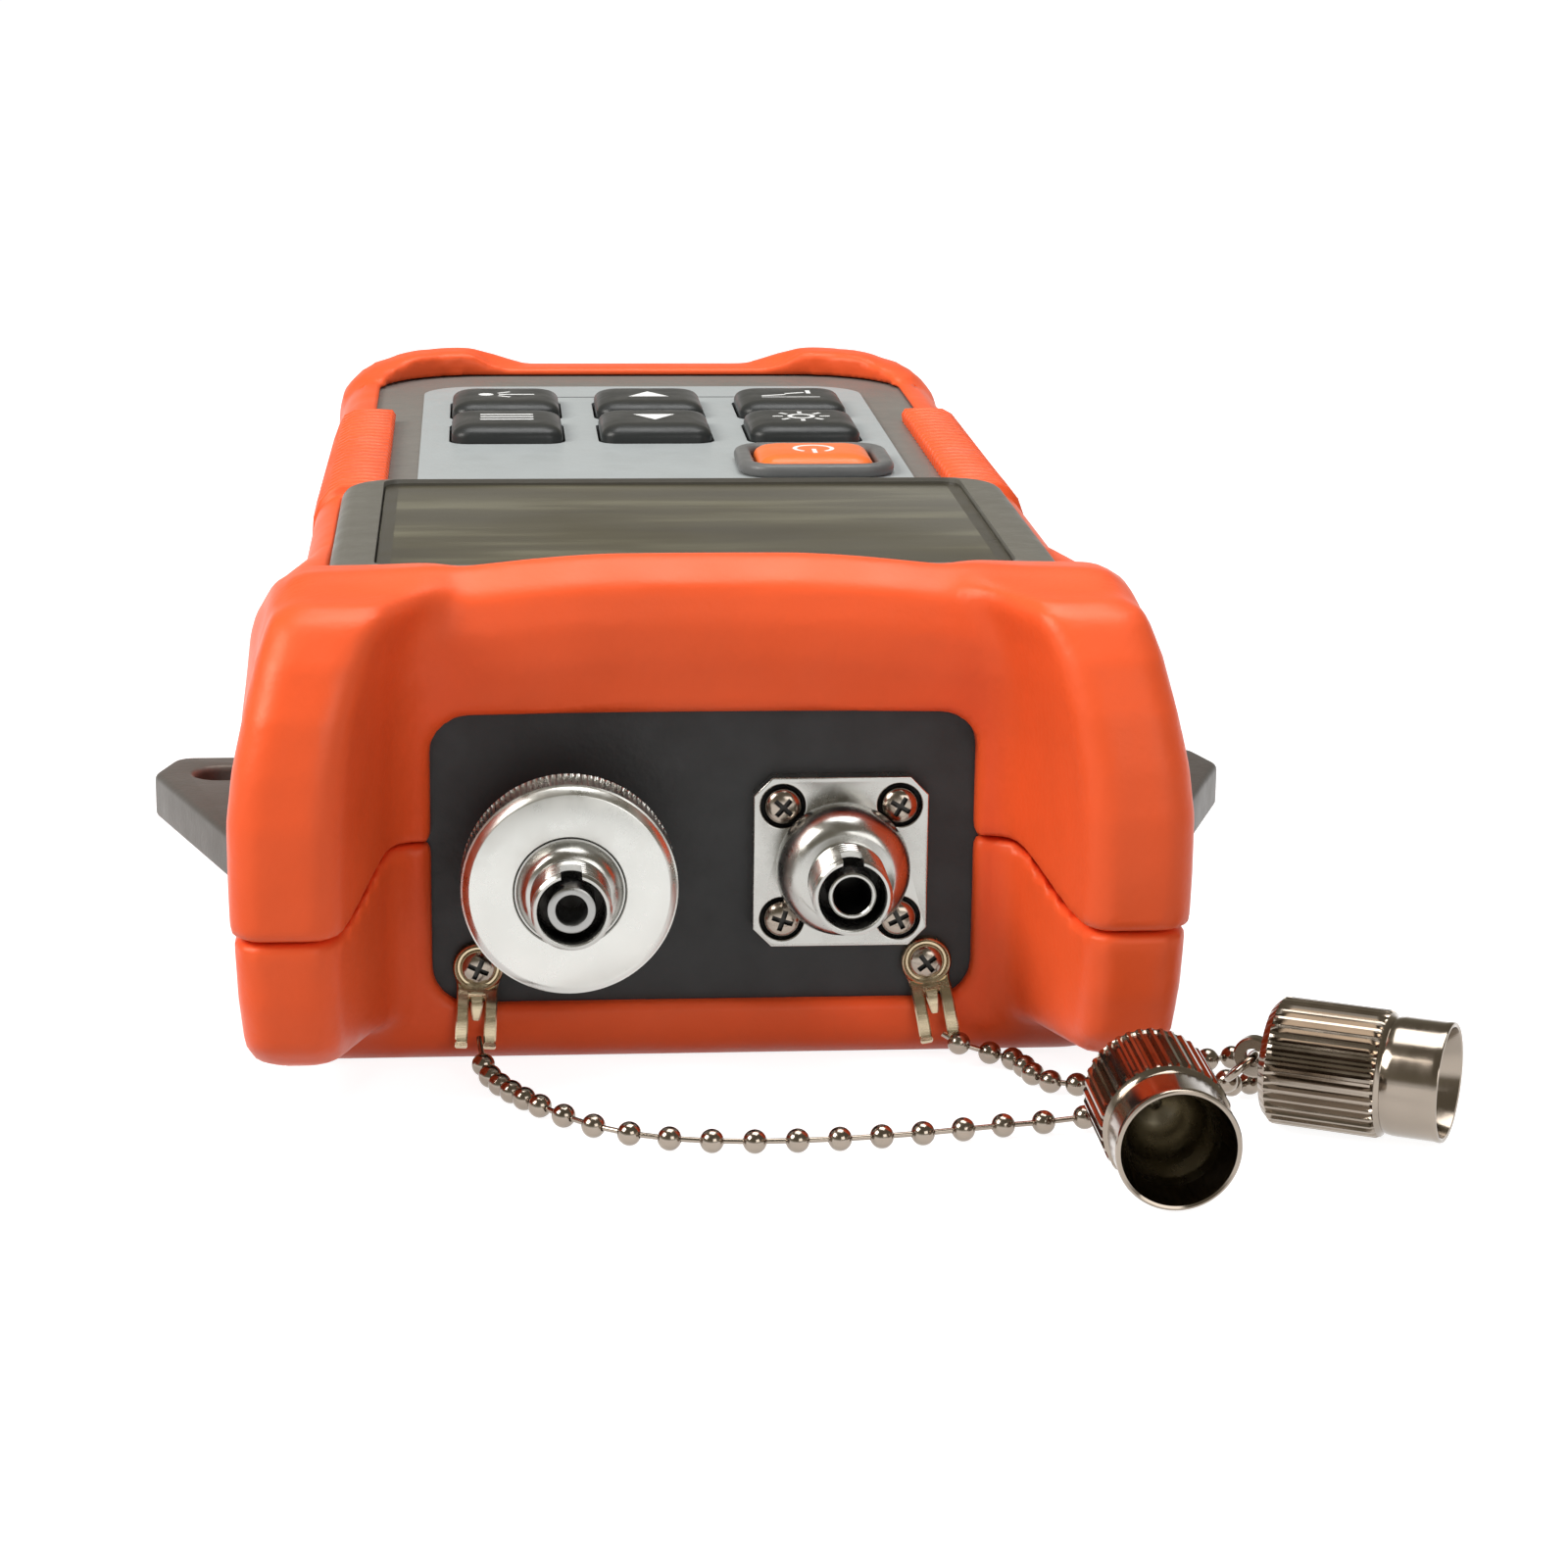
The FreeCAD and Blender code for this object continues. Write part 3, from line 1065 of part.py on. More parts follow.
def main():
    os.makedirs("parts", exist_ok=True)
    upper_boot, lower_boot = boots()
    lcd, light, bracket = display_stack()
    key_board, domes, mat, key_board_screws = key_parts()
    board, board_screws, shield, link = main_board()
    module, laser, cradle = optics()
    cells, tray, contacts = battery()
    test_body, test_sleeve = test_port()
    stub, insert, insert_sleeve, nut = laser_port()
    left_tab, right_tab, tab_screws = chain_tabs()
    lug = strap_lug()
    cap = dust_cap()
    pieces = {
        "upper_boot": upper_boot, "lower_boot": lower_boot,
        "upper_casing": upper_casing(), "lower_casing": lower_casing(),
        "casing_seal": seal_loop(CASE_SPLIT - SEAL_HEIGHT, CASE_SPLIT), "casing_screws": case_screws(),
        "end_panel": end_panel(), "display_frame": display_frame(), "display_window": display_window(),
        "lcd_panel": lcd, "lcd_backlight": light, "lcd_bracket": bracket,
        "keypad_overlay": keypad_overlay(), "power_key_ring": power_key_ring(),
        "key_mat": mat, "key_domes": domes, "key_board": key_board, "key_board_screws": key_board_screws,
        "main_board": board, "board_screws": board_screws, "board_shield": shield, "board_link": link,
        "measuring_module": module, "fault_laser": laser, "laser_cradle": cradle,
        "fibre_pigtail": fibre_pigtail(),
        "battery_cell_left": cells[0], "battery_cell_right": cells[1], "battery_tray": tray,
        "battery_contacts": contacts, "battery_door": battery_door(),
        "strap_lug_right": lug, "strap_lug_left": flip(lug),
        "test_port_body": test_body, "test_port_sleeve": test_sleeve, "flange_screws": flange_screws(),
        "laser_port_stub": stub, "laser_port_insert": insert, "laser_port_sleeve": insert_sleeve,
        "coupling_nut": nut,
        "chain_tab_left": left_tab, "chain_tab_right": right_tab, "tab_screws": tab_screws,
        "dust_cap_front": set_down(cap, LEFT_CAP), "dust_cap_side": set_down(cap, RIGHT_CAP),
        "cap_ring_front": set_down(cap_ring(), LEFT_CAP), "cap_ring_side": set_down(cap_ring(), RIGHT_CAP),
        "chain_left": chain_tube("chain_left", LEFT_CHAIN),
        "chain_right": chain_tube("chain_right", RIGHT_CHAIN),
    }
    for (name, column, row), (x, y, depth) in zip(KEY_NAMES, key_places()):
        pieces[name] = key(x, y, depth)
    pieces["power_key"] = key(*key_places()[-1])
    for name, shape in pieces.items():
        save(name, shape)
    print(len(pieces), "nodes")


main()
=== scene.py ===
import json
import math

import bmesh
import bpy
import numpy as np
from mathutils import Matrix, Vector


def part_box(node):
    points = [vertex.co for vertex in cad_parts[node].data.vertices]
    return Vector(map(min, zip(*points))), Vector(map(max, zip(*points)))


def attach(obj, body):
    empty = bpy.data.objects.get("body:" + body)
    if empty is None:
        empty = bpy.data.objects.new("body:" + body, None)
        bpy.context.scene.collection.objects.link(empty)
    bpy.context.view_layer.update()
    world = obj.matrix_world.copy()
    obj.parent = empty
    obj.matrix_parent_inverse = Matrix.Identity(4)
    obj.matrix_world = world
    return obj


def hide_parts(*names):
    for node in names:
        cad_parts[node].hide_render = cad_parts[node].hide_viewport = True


# Looks of a handheld optical time domain reflectometer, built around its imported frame.
# Sizes below are millimetres in the frame's axes; meshes are made in metres.
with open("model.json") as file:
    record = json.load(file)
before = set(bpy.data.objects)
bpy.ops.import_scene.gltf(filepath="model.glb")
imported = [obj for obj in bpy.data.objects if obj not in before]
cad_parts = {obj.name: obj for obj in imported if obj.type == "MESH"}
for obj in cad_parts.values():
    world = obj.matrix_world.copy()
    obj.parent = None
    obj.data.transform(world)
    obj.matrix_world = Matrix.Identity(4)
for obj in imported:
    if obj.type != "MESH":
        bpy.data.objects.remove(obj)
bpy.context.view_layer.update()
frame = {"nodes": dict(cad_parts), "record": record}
MM = 0.001
BODY = "housing"
NODES = frame["nodes"]


def node_box(node):
    """Lowest and highest corner of a CAD node, in millimetres."""
    low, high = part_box(node)
    return [c / MM for c in low], [c / MM for c in high]


def new_object(name, data):
    obj = bpy.data.objects.new(name, data)
    bpy.context.collection.objects.link(obj)
    return obj


def final_mesh(obj):
    """Mesh of an object as its modifiers or its curve make it."""
    graph = bpy.context.evaluated_depsgraph_get()
    return bpy.data.meshes.new_from_object(obj.evaluated_get(graph))


# --- camera ---
CAMERA_AT = (-22.5, -447.6, 127.1)
CAMERA_YAW = 4.74
CAMERA_PITCH = 14.70
CAMERA_ROLL = 0.625
CAMERA_LENS = 86.1
SENSOR_WIDTH = 36
FARTHEST_SEEN = 10


def make_camera():
    yaw, pitch, roll = (math.radians(a) for a in (CAMERA_YAW, CAMERA_PITCH, CAMERA_ROLL))
    ahead = Vector((math.sin(yaw) * math.cos(pitch), math.cos(yaw) * math.cos(pitch), -math.sin(pitch)))
    right = Vector((math.cos(yaw), -math.sin(yaw), 0))
    up = right.cross(ahead)
    rolled_right = right * math.cos(roll) + up * math.sin(roll)
    rolled_up = up * math.cos(roll) - right * math.sin(roll)
    data = bpy.data.cameras.new("camera")
    data.lens = CAMERA_LENS
    data.sensor_width = SENSOR_WIDTH
    data.clip_end = FARTHEST_SEEN
    camera = new_object("camera", data)
    turn = Matrix((rolled_right, rolled_up, -ahead)).transposed()
    camera.matrix_world = Matrix.Translation(Vector(CAMERA_AT) * MM) @ turn.to_4x4()
    bpy.context.scene.camera = camera


make_camera()
bpy.context.scene.view_settings.view_transform = "Standard"


# --- material nodes ---
class Nodes:
    """Short calls for building one material's node tree."""

    def __init__(self, name):
        self.material = bpy.data.materials.new(name)
        self.material.use_nodes = True
        self.tree = self.material.node_tree
        self.shader = self.tree.nodes["Principled BSDF"]
        self.place = self.new("ShaderNodeTexCoord").outputs["Object"]

    def new(self, kind, **settings):
        node = self.tree.nodes.new(kind)
        for key, value in settings.items():
            if key in node.inputs:
                node.inputs[key].default_value = value
            else:
                setattr(node, key, value)
        return node

    def link(self, output, target):
        self.tree.links.new(output, target)

    def set(self, **values):
        for key, value in values.items():
            self.shader.inputs[key.replace("_", " ")].default_value = value

    def noise(self, scale, detail=3.0, rough=0.5, stretch=None):
        node = self.new("ShaderNodeTexNoise", Scale=scale, Detail=detail, Roughness=rough)
        source = self.place
        if stretch:
            mapping = self.new("ShaderNodeMapping")
            mapping.inputs["Scale"].default_value = stretch
            self.link(self.place, mapping.inputs["Vector"])
            source = mapping.outputs["Vector"]
        self.link(source, node.inputs["Vector"])
        return node.outputs["Fac"]

    def ramp(self, factor, stops):
        node = self.new("ShaderNodeValToRGB")
        elements = node.color_ramp.elements
        while len(elements) < len(stops):
            elements.new(0.5)
        for element, (place, colour) in zip(elements, stops):
            element.position = place
            element.color = (*colour, 1)
        self.link(factor, node.inputs["Fac"])
        return node.outputs["Color"]

    def spread(self, factor, low, high, start=0.3, end=0.7):
        """Low to high as the factor goes from start to end."""
        limits = {"From Min": start, "From Max": end, "To Min": low, "To Max": high}
        node = self.new("ShaderNodeMapRange", **limits)
        self.link(factor, node.inputs["Value"])
        return node.outputs["Result"]

    def mix(self, factor, first, second):
        """From a linked colour to a plain one. A colour mix has its sockets at 6 and 7."""
        node = self.new("ShaderNodeMix", data_type="RGBA")
        self.link(factor, node.inputs[0])
        self.link(first, node.inputs[6])
        node.inputs[7].default_value = (*second, 1)
        return node.outputs[2]

    def colour(self, output):
        self.link(output, self.shader.inputs["Base Color"])

    def rough(self, output):
        self.link(output, self.shader.inputs["Roughness"])

    def bump(self, *layers):
        """Stacked bumps, each (height output, depth in millimetres)."""
        normal = None
        for height, depth in layers:
            node = self.new("ShaderNodeBump", Strength=1.0, Distance=depth * MM)
            self.link(height, node.inputs["Height"])
            if normal:
                self.link(normal, node.inputs["Normal"])
            normal = node.outputs["Normal"]
        self.link(normal, self.shader.inputs["Normal"])


def tint(colour, by):
    return tuple(min(1.0, c * by) for c in colour)


def rubber(name, colour):
    """Satin moulded rubber: faint mottling, fine grain, a slightly paler bloom."""
    n = Nodes(name)
    mottled = n.ramp(n.noise(60, 4), [(0.3, tint(colour, 0.93)), (0.7, tint(colour, 1.05))])
    smudge = n.noise(18, 5, 0.6)
    n.colour(n.mix(n.spread(smudge, 0.0, 0.1), mottled, tint(colour, 0.82)))
    n.rough(n.spread(n.noise(140, 4), 0.36, 0.48))
    n.bump((n.noise(1400, 2), 0.035), (n.noise(220, 3), 0.05), (n.noise(45, 2), 0.12))
    n.set(Specular_IOR_Level=0.42, Specular_Tint=(1.0, 0.8, 0.62, 1))
    return n.material


def plastic(name, colour, rough=0.45, grain=1500, depth=0.03, vary=0.06):
    """Moulded plastic with a fine spark-eroded texture."""
    n = Nodes(name)
    n.colour(n.ramp(n.noise(120, 5), [(0.25, tint(colour, 1 - vary)), (0.75, tint(colour, 1 + vary))]))
    n.rough(n.spread(n.noise(300, 4), rough - 0.06, rough + 0.06))
    n.bump((n.noise(grain, 2), depth), (n.noise(90, 2), depth))
    n.set(Specular_IOR_Level=0.34)
    return n.material


def metal(name, colour, rough=0.22, brush=None, depth=0.01, vary=0.1):
    """Plated metal with drawn or turned marks along the given stretch."""
    n = Nodes(name)
    n.colour(n.ramp(n.noise(200, 4), [(0.3, tint(colour, 1 - vary)), (0.7, colour)]))
    marks = n.noise(400, 4, 0.6, brush or (1, 1, 1))
    n.rough(n.spread(marks, rough * 0.7, rough * 1.35))
    n.bump((marks, depth), (n.noise(60, 2), depth))
    n.set(Metallic=1.0)
    return n.material


def glossy(name, colour, rough=0.08):
    n = Nodes(name)
    n.colour(n.ramp(n.noise(80, 3), [(0.3, tint(colour, 0.95)), (0.7, tint(colour, 1.05))]))
    n.rough(n.spread(n.noise(200, 3), rough * 0.6, rough * 1.4))
    n.set(Specular_IOR_Level=0.5)
    return n.material


ORANGE = (0.90, 0.105, 0.024)
GREY = (0.175, 0.166, 0.15)
NICKEL = (0.46, 0.455, 0.43)
MATERIALS = {
    "rubber_orange": rubber("boot rubber", ORANGE),
    "casing_grey": plastic("casing plastic", GREY, 0.42),
    "panel_black": plastic("panel plastic", (0.024, 0.024, 0.024), 0.5, 1200, 0.04),
    "overlay_grey": plastic("keypad overlay", (0.37, 0.395, 0.395), 0.4, 1800, 0.02, 0.03),
    "ring_grey": plastic("power key ring", (0.13, 0.13, 0.128), 0.38),
    "key_dark": plastic("key plastic", (0.022, 0.024, 0.024), 0.36, 1600, 0.02),
    "key_orange": plastic("power key plastic", (0.88, 0.17, 0.03), 0.34, 1600, 0.02),
    "lcd_dark": glossy("lcd glass", (0.10, 0.095, 0.06)),
    "light_white": plastic("backlight", (0.75, 0.75, 0.72)),
    "silicone": plastic("silicone", (0.5, 0.5, 0.48), 0.5),
    "board_green": glossy("solder mask", (0.02, 0.16, 0.06), 0.25),
    "shield_tin": metal("tinned steel", (0.6, 0.6, 0.6), 0.3),
    "plug_white": plastic("plug nylon", (0.8, 0.79, 0.74)),
    "module_aluminium": metal("module aluminium", (0.6, 0.6, 0.62), 0.35, (1, 8, 1)),
    "laser_brass": metal("laser brass", (0.7, 0.5, 0.2), 0.25),
    "fibre_jacket": plastic("fibre jacket", (0.85, 0.65, 0.06)),
    "cell_wrap": glossy("cell wrap", (0.05, 0.16, 0.45), 0.2),
    "steel": metal("screw steel", (0.5, 0.5, 0.5), 0.3),
    "nickel": metal("satin nickel", NICKEL, 0.24, depth=0.004),
    "bright_nickel": metal("bright nickel", (0.34, 0.29, 0.24), 0.15, depth=0.005),
    "ceramic": glossy("sleeve ceramic", (0.8, 0.78, 0.72), 0.15),
    # looks that no slot of the frame has
    # painted shade: darker olive colour for the inside of the dust caps
    "cap_inside_painted_shade": metal("cap_inside_painted_shade", (0.20, 0.175, 0.125), 0.26),
    "tab": metal("tab metal", (0.56, 0.47, 0.32), 0.22, (1, 1, 10)),
    "nut": metal("nut nickel", (0.62, 0.62, 0.59), 0.3, depth=0.003),
    # painted shade: near-black colour given to the insides of port barrels, sleeves and screw recesses
    "painted_shade_bore": metal("painted_shade_bore", (0.045, 0.043, 0.04), 0.4),
    "sleeve": metal("sleeve", (0.36, 0.36, 0.35), 0.3),
    "port screws": metal("port screws", (0.36, 0.31, 0.26), 0.2),
    "bezel": plastic("bezel plastic", (0.125, 0.118, 0.098), 0.4),
    "border": glossy("display border", (0.022, 0.019, 0.012), 0.2),
    "lug": rubber("lug rubber", (0.085, 0.08, 0.074)),
    "print": plastic("overlay print", (0.05, 0.055, 0.06), 0.5),
    "ink": plastic("key marks", (0.8, 0.8, 0.78), 0.5),
}


def window_material():
    """Smoked display window: the display's own dark olive tone, with blurred streaks of painted reflection in
    its colour.
    """
    n = Nodes("display window")
    # painted reflection: stretched noise makes lighter blurred streaks in the window's colour
    painted_reflection_streaks = n.noise(70, 3, 0.45, (0.3, 2.0, 1))
    display_and_reflection_tones = [(0.38, (0.030, 0.026, 0.015)), (0.56, (0.055, 0.049, 0.028)), (0.68, (0.12, 0.112, 0.07))]
    n.colour(n.ramp(painted_reflection_streaks, display_and_reflection_tones))
    n.rough(n.spread(n.noise(60, 4), 0.1, 0.2))
    n.set(Specular_IOR_Level=0.3)
    return n.material


MATERIALS["window_glass"] = window_material()


# --- mesh helpers ---
def add_mesh(name, verts, faces, look, smooth=True):
    """Object from millimetre vertices, in one of MATERIALS."""
    mesh = bpy.data.meshes.new(name)
    mesh.from_pydata([tuple(c * MM for c in v) for v in verts], [], faces)
    mesh.validate()
    mesh.update()
    obj = new_object(name, mesh)
    mesh.materials.append(MATERIALS[look])
    if smooth:
        mesh.shade_smooth()
    return obj


def settle(obj, nodes=(), body=BODY):
    """Hang a finished piece on its body's empty and hide the CAD nodes it stands for."""
    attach(obj, body)
    if nodes:
        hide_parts(*nodes)
    return obj


def apply_modifiers(obj):
    mesh = final_mesh(obj)
    obj.modifiers.clear()
    old = obj.data
    obj.data = mesh
    bpy.data.meshes.remove(old)
    return obj


def sharpen(obj, degrees=35):
    obj.data.shade_smooth()
    obj.data.set_sharp_from_angle(angle=math.radians(degrees))
    return obj


def paint(obj, look, chosen):
    """Give another look to the faces whose middle, in millimetres, is chosen."""
    obj.data.materials.append(MATERIALS[look])
    for face in obj.data.polygons:
        if chosen(face.center / MM):
            face.material_index = len(obj.data.materials) - 1


def cut(obj, *cutters):
    for cutter in cutters:
        modifier = obj.modifiers.new("cut", "BOOLEAN")
        modifier.object = cutter
        modifier.operation = "DIFFERENCE"
        modifier.solver = "EXACT"
        modifier.material_mode = "TRANSFER"
        apply_modifiers(obj)
        bpy.data.objects.remove(cutter)
    return obj


def join(name, objects):
    """One object out of several, keeping their materials."""
    merged = bmesh.new()
    materials = []
    for obj in objects:
        for material in obj.data.materials:
            if material not in materials:
                materials.append(material)
        start = len(merged.faces)
        obj.data.transform(obj.matrix_world)
        merged.from_mesh(obj.data)
        merged.faces.ensure_lookup_table()
        for face in merged.faces[start:]:
            face.material_index = materials.index(obj.data.materials[face.material_index])
    mesh = bpy.data.meshes.new(name)
    merged.to_mesh(mesh)
    merged.free()
    for material in materials:
        mesh.materials.append(material)
    for obj in objects:
        bpy.data.objects.remove(obj)
    return new_object(name, mesh)


def move(obj, matrix):
    obj.data.transform(matrix)
    return obj


def shift(x, y, z):
    return Matrix.Translation(Vector((x, y, z)) * MM)


def weld(mesh, reach=1e-7, outward=True):
    """Merge the vertices that lie together, and turn the faces outward."""
    edited = bmesh.new()
    edited.from_mesh(mesh)
    bmesh.ops.remove_doubles(edited, verts=edited.verts, dist=reach)
    if outward:
        bmesh.ops.recalc_face_normals(edited, faces=edited.faces)
    edited.to_mesh(mesh)
    edited.free()


def curve_mesh(curve):
    """Mesh that a curve makes."""
    holder = new_object("holder", curve)
    mesh = final_mesh(holder)
    bpy.data.objects.remove(holder)
    return mesh


def grid_mesh(name, points, look, wrap=True, caps=(False, False)):
    """Mesh over an array of points [ring][around]; rings close on themselves when wrap is set."""
    rings, around = points.shape[:2]
    verts = points.reshape(-1, 3)
    faces = []
    last = around if wrap else around - 1
    for i in range(rings - 1):
        for j in range(last):
            k = (j + 1) % around
            faces.append((i * around + j, i * around + k, (i + 1) * around + k, (i + 1) * around + j))
    if caps[0]:
        faces.append(tuple(reversed(range(around))))
    if caps[1]:
        faces.append(tuple(range((rings - 1) * around, rings * around)))
    return add_mesh(name, verts.tolist(), faces, look)


def lathe(name, profile, look, segments=96, wobble=None, closed=False):
    """Turned shape about +Y from (along, radius) points. wobble(along, angle, radius) adds to the
    radius. A closed profile makes a ring."""
    along = np.array([p[0] for p in profile], float)
    radius = np.array([p[1] for p in profile], float)
    angle = np.linspace(0, 2 * math.pi, segments, endpoint=False)
    rr = np.repeat(radius[:, None], segments, 1)
    if wobble:
        rr = rr + wobble(along[:, None], angle[None, :], rr)
    yy = np.repeat(along[:, None], segments, 1)
    points = np.stack([rr * np.cos(angle), yy, rr * np.sin(angle)], -1)
    if closed:
        points = np.concatenate([points, points[:1]])
    caps = [not closed and radius[end] > 0.01 for end in (0, -1)]
    obj = grid_mesh(name, points, look, caps=caps)
    weld(obj.data)
    return obj


def rounded_ring(half_x, half_y, radius, per_corner=6):
    """Points round a rounded rectangle, anticlockwise."""
    points = []
    for k, (sx, sy) in enumerate(((1, 1), (-1, 1), (-1, -1), (1, -1))):
        for i in range(per_corner + 1):
            a = math.radians(90 * k + 90 * i / per_corner)
            points.append((sx * (half_x - radius) + radius * math.cos(a),
                           sy * (half_y - radius) + radius * math.sin(a)))
    return points


def outline_arcs(corners, steps=6):
    """Points round an outline of (x, y, radius) corners, each rounded by an arc."""
    points = []
    count = len(corners)
    for i, (x, y, radius) in enumerate(corners):
        here = Vector((x, y))
        back = (Vector(corners[i - 1][:2]) - here).normalized()
        ahead = (Vector(corners[(i + 1) % count][:2]) - here).normalized()
        half = back.angle(ahead) / 2
        reach = radius / math.tan(half)
        centre = here + (back + ahead).normalized() * (radius / math.sin(half))
        start = here + back * reach - centre
        end = here + ahead * reach - centre
        turn = start.angle_signed(end) * -1
        for k in range(steps + 1):
            a = turn * k / steps
            points.append(centre + Vector((start.x * math.cos(a) - start.y * math.sin(a),
                                           start.x * math.sin(a) + start.y * math.cos(a))))
    return [(p.x, p.y) for p in points]


def plate(name, outlines, z_low, z_high, bevel, look, segments=3):
    """Flat plate with rounded edges. The first outline is outside, the others are holes."""
    curve = bpy.data.curves.new(name, "CURVE")
    curve.dimensions = "2D"
    curve.fill_mode = "BOTH"
    for outline in outlines:
        spline = curve.splines.new("POLY")
        spline.points.add(len(outline) - 1)
        for point, (x, y) in zip(spline.points, outline):
            point.co = (x * MM, y * MM, 0, 1)
        spline.use_cyclic_u = True
    curve.extrude = ((z_high - z_low) / 2 - bevel) * MM
    curve.bevel_depth = bevel * MM
    curve.bevel_resolution = segments
    curve.offset = -bevel * MM
    mesh = curve_mesh(curve)
    weld(mesh, 2e-6)
    obj = new_object(name, mesh)
    mesh.materials.clear()
    mesh.materials.append(MATERIALS[look])
    move(obj, shift(0, 0, (z_low + z_high) / 2))
    return sharpen(obj, 40)


def upright(obj, x, y, z):
    """Stand a plate made in plan up in the XZ plane, facing -Y, with its middle at (x, y, z)."""
    return move(obj, shift(x, y, z) @ Matrix.Rotation(math.radians(90), 4, "X"))


def face_out(obj, x, y, z):
    """Put a turned shape's start at (x, y, z), running towards +Y."""
    return move(obj, shift(x, y, z))


# --- bead chains ---
BEAD_R = 1.2
BEAD_NECK = 0.32
LINK_R = 0.28
LAST_BEAD = 1.5           # from the last bead to the chain's end
LEFT_CHAIN = [
    (-23.2, -80.0, 3.7), (-23.0, -82.4, 1.7), (-22.0, -85.8, 1.25),
    (-19.9, -90.3, 1.25), (-16.5, -95.4, 1.25),
    (-12.2, -100.6, 1.25), (-6.4, -104.1, 1.25), (1.2, -105.7, 1.25), (10.3, -105.5, 1.25),
    (19.6, -104.3, 1.25), (28.6, -102.1, 1.25), (34.8, -101.2, 1.25),
    (39.0, -101.2, 2.1), (41.5, -101.75, 3.8),
]
RIGHT_CHAIN = [
    (24.7, -80.45, 3.5), (26.8, -81.4, 2.3), (29.8, -81.0, 1.5), (32.5, -82.8, 1.25),
    (32.9, -86.2, 1.25), (34.2, -89.6, 1.25), (37.8, -90.9, 1.25), (42.9, -90.3, 1.25),
    (47.0, -87.6, 1.25), (50.6, -84.2, 1.25), (54.4, -82.4, 1.25), (57.8, -84.2, 1.25),
    (58.2, -88.0, 1.25), (55.8, -90.8, 1.25), (52.9, -92.3, 1.5), (51.6, -94.4, 2.4),
    (51.67, -96.3, 3.8),
]
CAP_R = 6.35
CAP_LENGTH = 18.0
CAP_KNURL = 12.0          # where the knurling ends
EYE_MIDDLE = -1.7         # behind the cap's closed end
RING_R = 1.8
RING_WIRE = 0.4
LEFT_CAP = (41.5, -124.0, 0.0)
RIGHT_CAP = (71.5, -106.4, 63.0)


def smooth_line(route):
    """Points along the smooth curve that the route steers."""
    curve = bpy.data.curves.new("line", "CURVE")
    curve.dimensions = "3D"
    spline = curve.splines.new("NURBS")
    spline.points.add(len(route) - 1)
    for point, place in zip(spline.points, route):
        point.co = (*[c * MM for c in place], 1)
    spline.order_u = 3
    spline.use_endpoint_u = True
    spline.resolution_u = 24
    return [v.co.copy() / MM for v in curve_mesh(curve).vertices]


def walk(line):
    """Running length at each point of a line."""
    marks = [0.0]
    for a, b in zip(line, line[1:]):
        marks.append(marks[-1] + (b - a).length)
    return marks


def at_length(line, marks, length):
    for i in range(1, len(line)):
        if marks[i] >= length or i == len(line) - 1:
            share = (length - marks[i - 1]) / max(marks[i] - marks[i - 1], 1e-9)
            return line[i - 1].lerp(line[i], share), (line[i] - line[i - 1]).normalized()


def bead(radius, neck):
    """Hollow ball of a bead chain along +Y, drawn in to its holes at both ends."""
    count = 12
    reach = math.asin(neck / radius)
    profile = []
    for i in range(count + 1):
        a = -math.pi / 2 + reach + (math.pi - 2 * reach) * i / count
        profile.append((radius * math.sin(a), radius * math.cos(a)))
    inner = radius * math.cos(reach) * 0.86
    return [(-inner, neck * 0.7)] + profile + [(inner, neck * 0.7)]


def bead_places(total, first, gaps, pitch):
    """Lengths along a chain where its beads sit: set gaps first, then the pitch as far as it goes."""
    places = [first]
    for gap in gaps:
        places.append(places[-1] + gap)
    left = total - LAST_BEAD - places[-1]
    count = max(1, round(left / pitch))
    return places + [places[-1] + left * (i + 1) / count for i in range(count)]


def lay_along(obj, place, ahead):
    """Turn a shape made along +Y to point ahead, with its middle at a place."""
    turn = Vector((0, 1, 0)).rotation_difference(ahead).to_matrix().to_4x4()
    return move(obj, shift(*place) @ turn)


def bead_chain(name, route, first, gaps, pitch):
    line = smooth_line(route)
    marks = walk(line)
    total = marks[-1]
    pieces = []
    places = bead_places(total, first, gaps, pitch)
    for length in places:
        ball = lathe("ball", bead(BEAD_R, BEAD_NECK), "bright_nickel", 24)
        pieces.append(lay_along(ball, *at_length(line, marks, length)))
    for start, end in zip([0.0] + places, places + [total]):
        a = at_length(line, marks, start)[0]
        b = at_length(line, marks, end)[0]
        half = (b - a).length / 2
        link = lathe("link", [(-half, LINK_R), (half, LINK_R)], "bright_nickel", 12)
        pieces.append(lay_along(link, (a + b) / 2, (b - a).normalized()))
    chain = sharpen(join(name, pieces), 50)
    settle(chain, (name,))


def on_floor(place):
    """Matrix that lays a cap on the floor: mouth at (x, y), turned about Z."""
    x, y, degrees = place
    a = math.radians(degrees)
    rear = shift(x - CAP_LENGTH * math.sin(a), y + CAP_LENGTH * math.cos(a), CAP_R)
    return rear @ Matrix.Rotation(a + math.pi, 4, "Z")


def knurl(count, depth, start, end, sharp=0.35):
    """Straight knurling between two places along the axis."""
    def wobble(along, angle, radius):
        inside = np.clip((along - start) / 0.4, 0, 1) * np.clip((end - along) / 0.4, 0, 1)
        wave = np.cos(angle * count)
        ridge = np.clip(wave / sharp, -1, 1)
        return depth * (ridge - 1) / 2 * inside * (radius > CAP_R - 1.5)
    return wobble


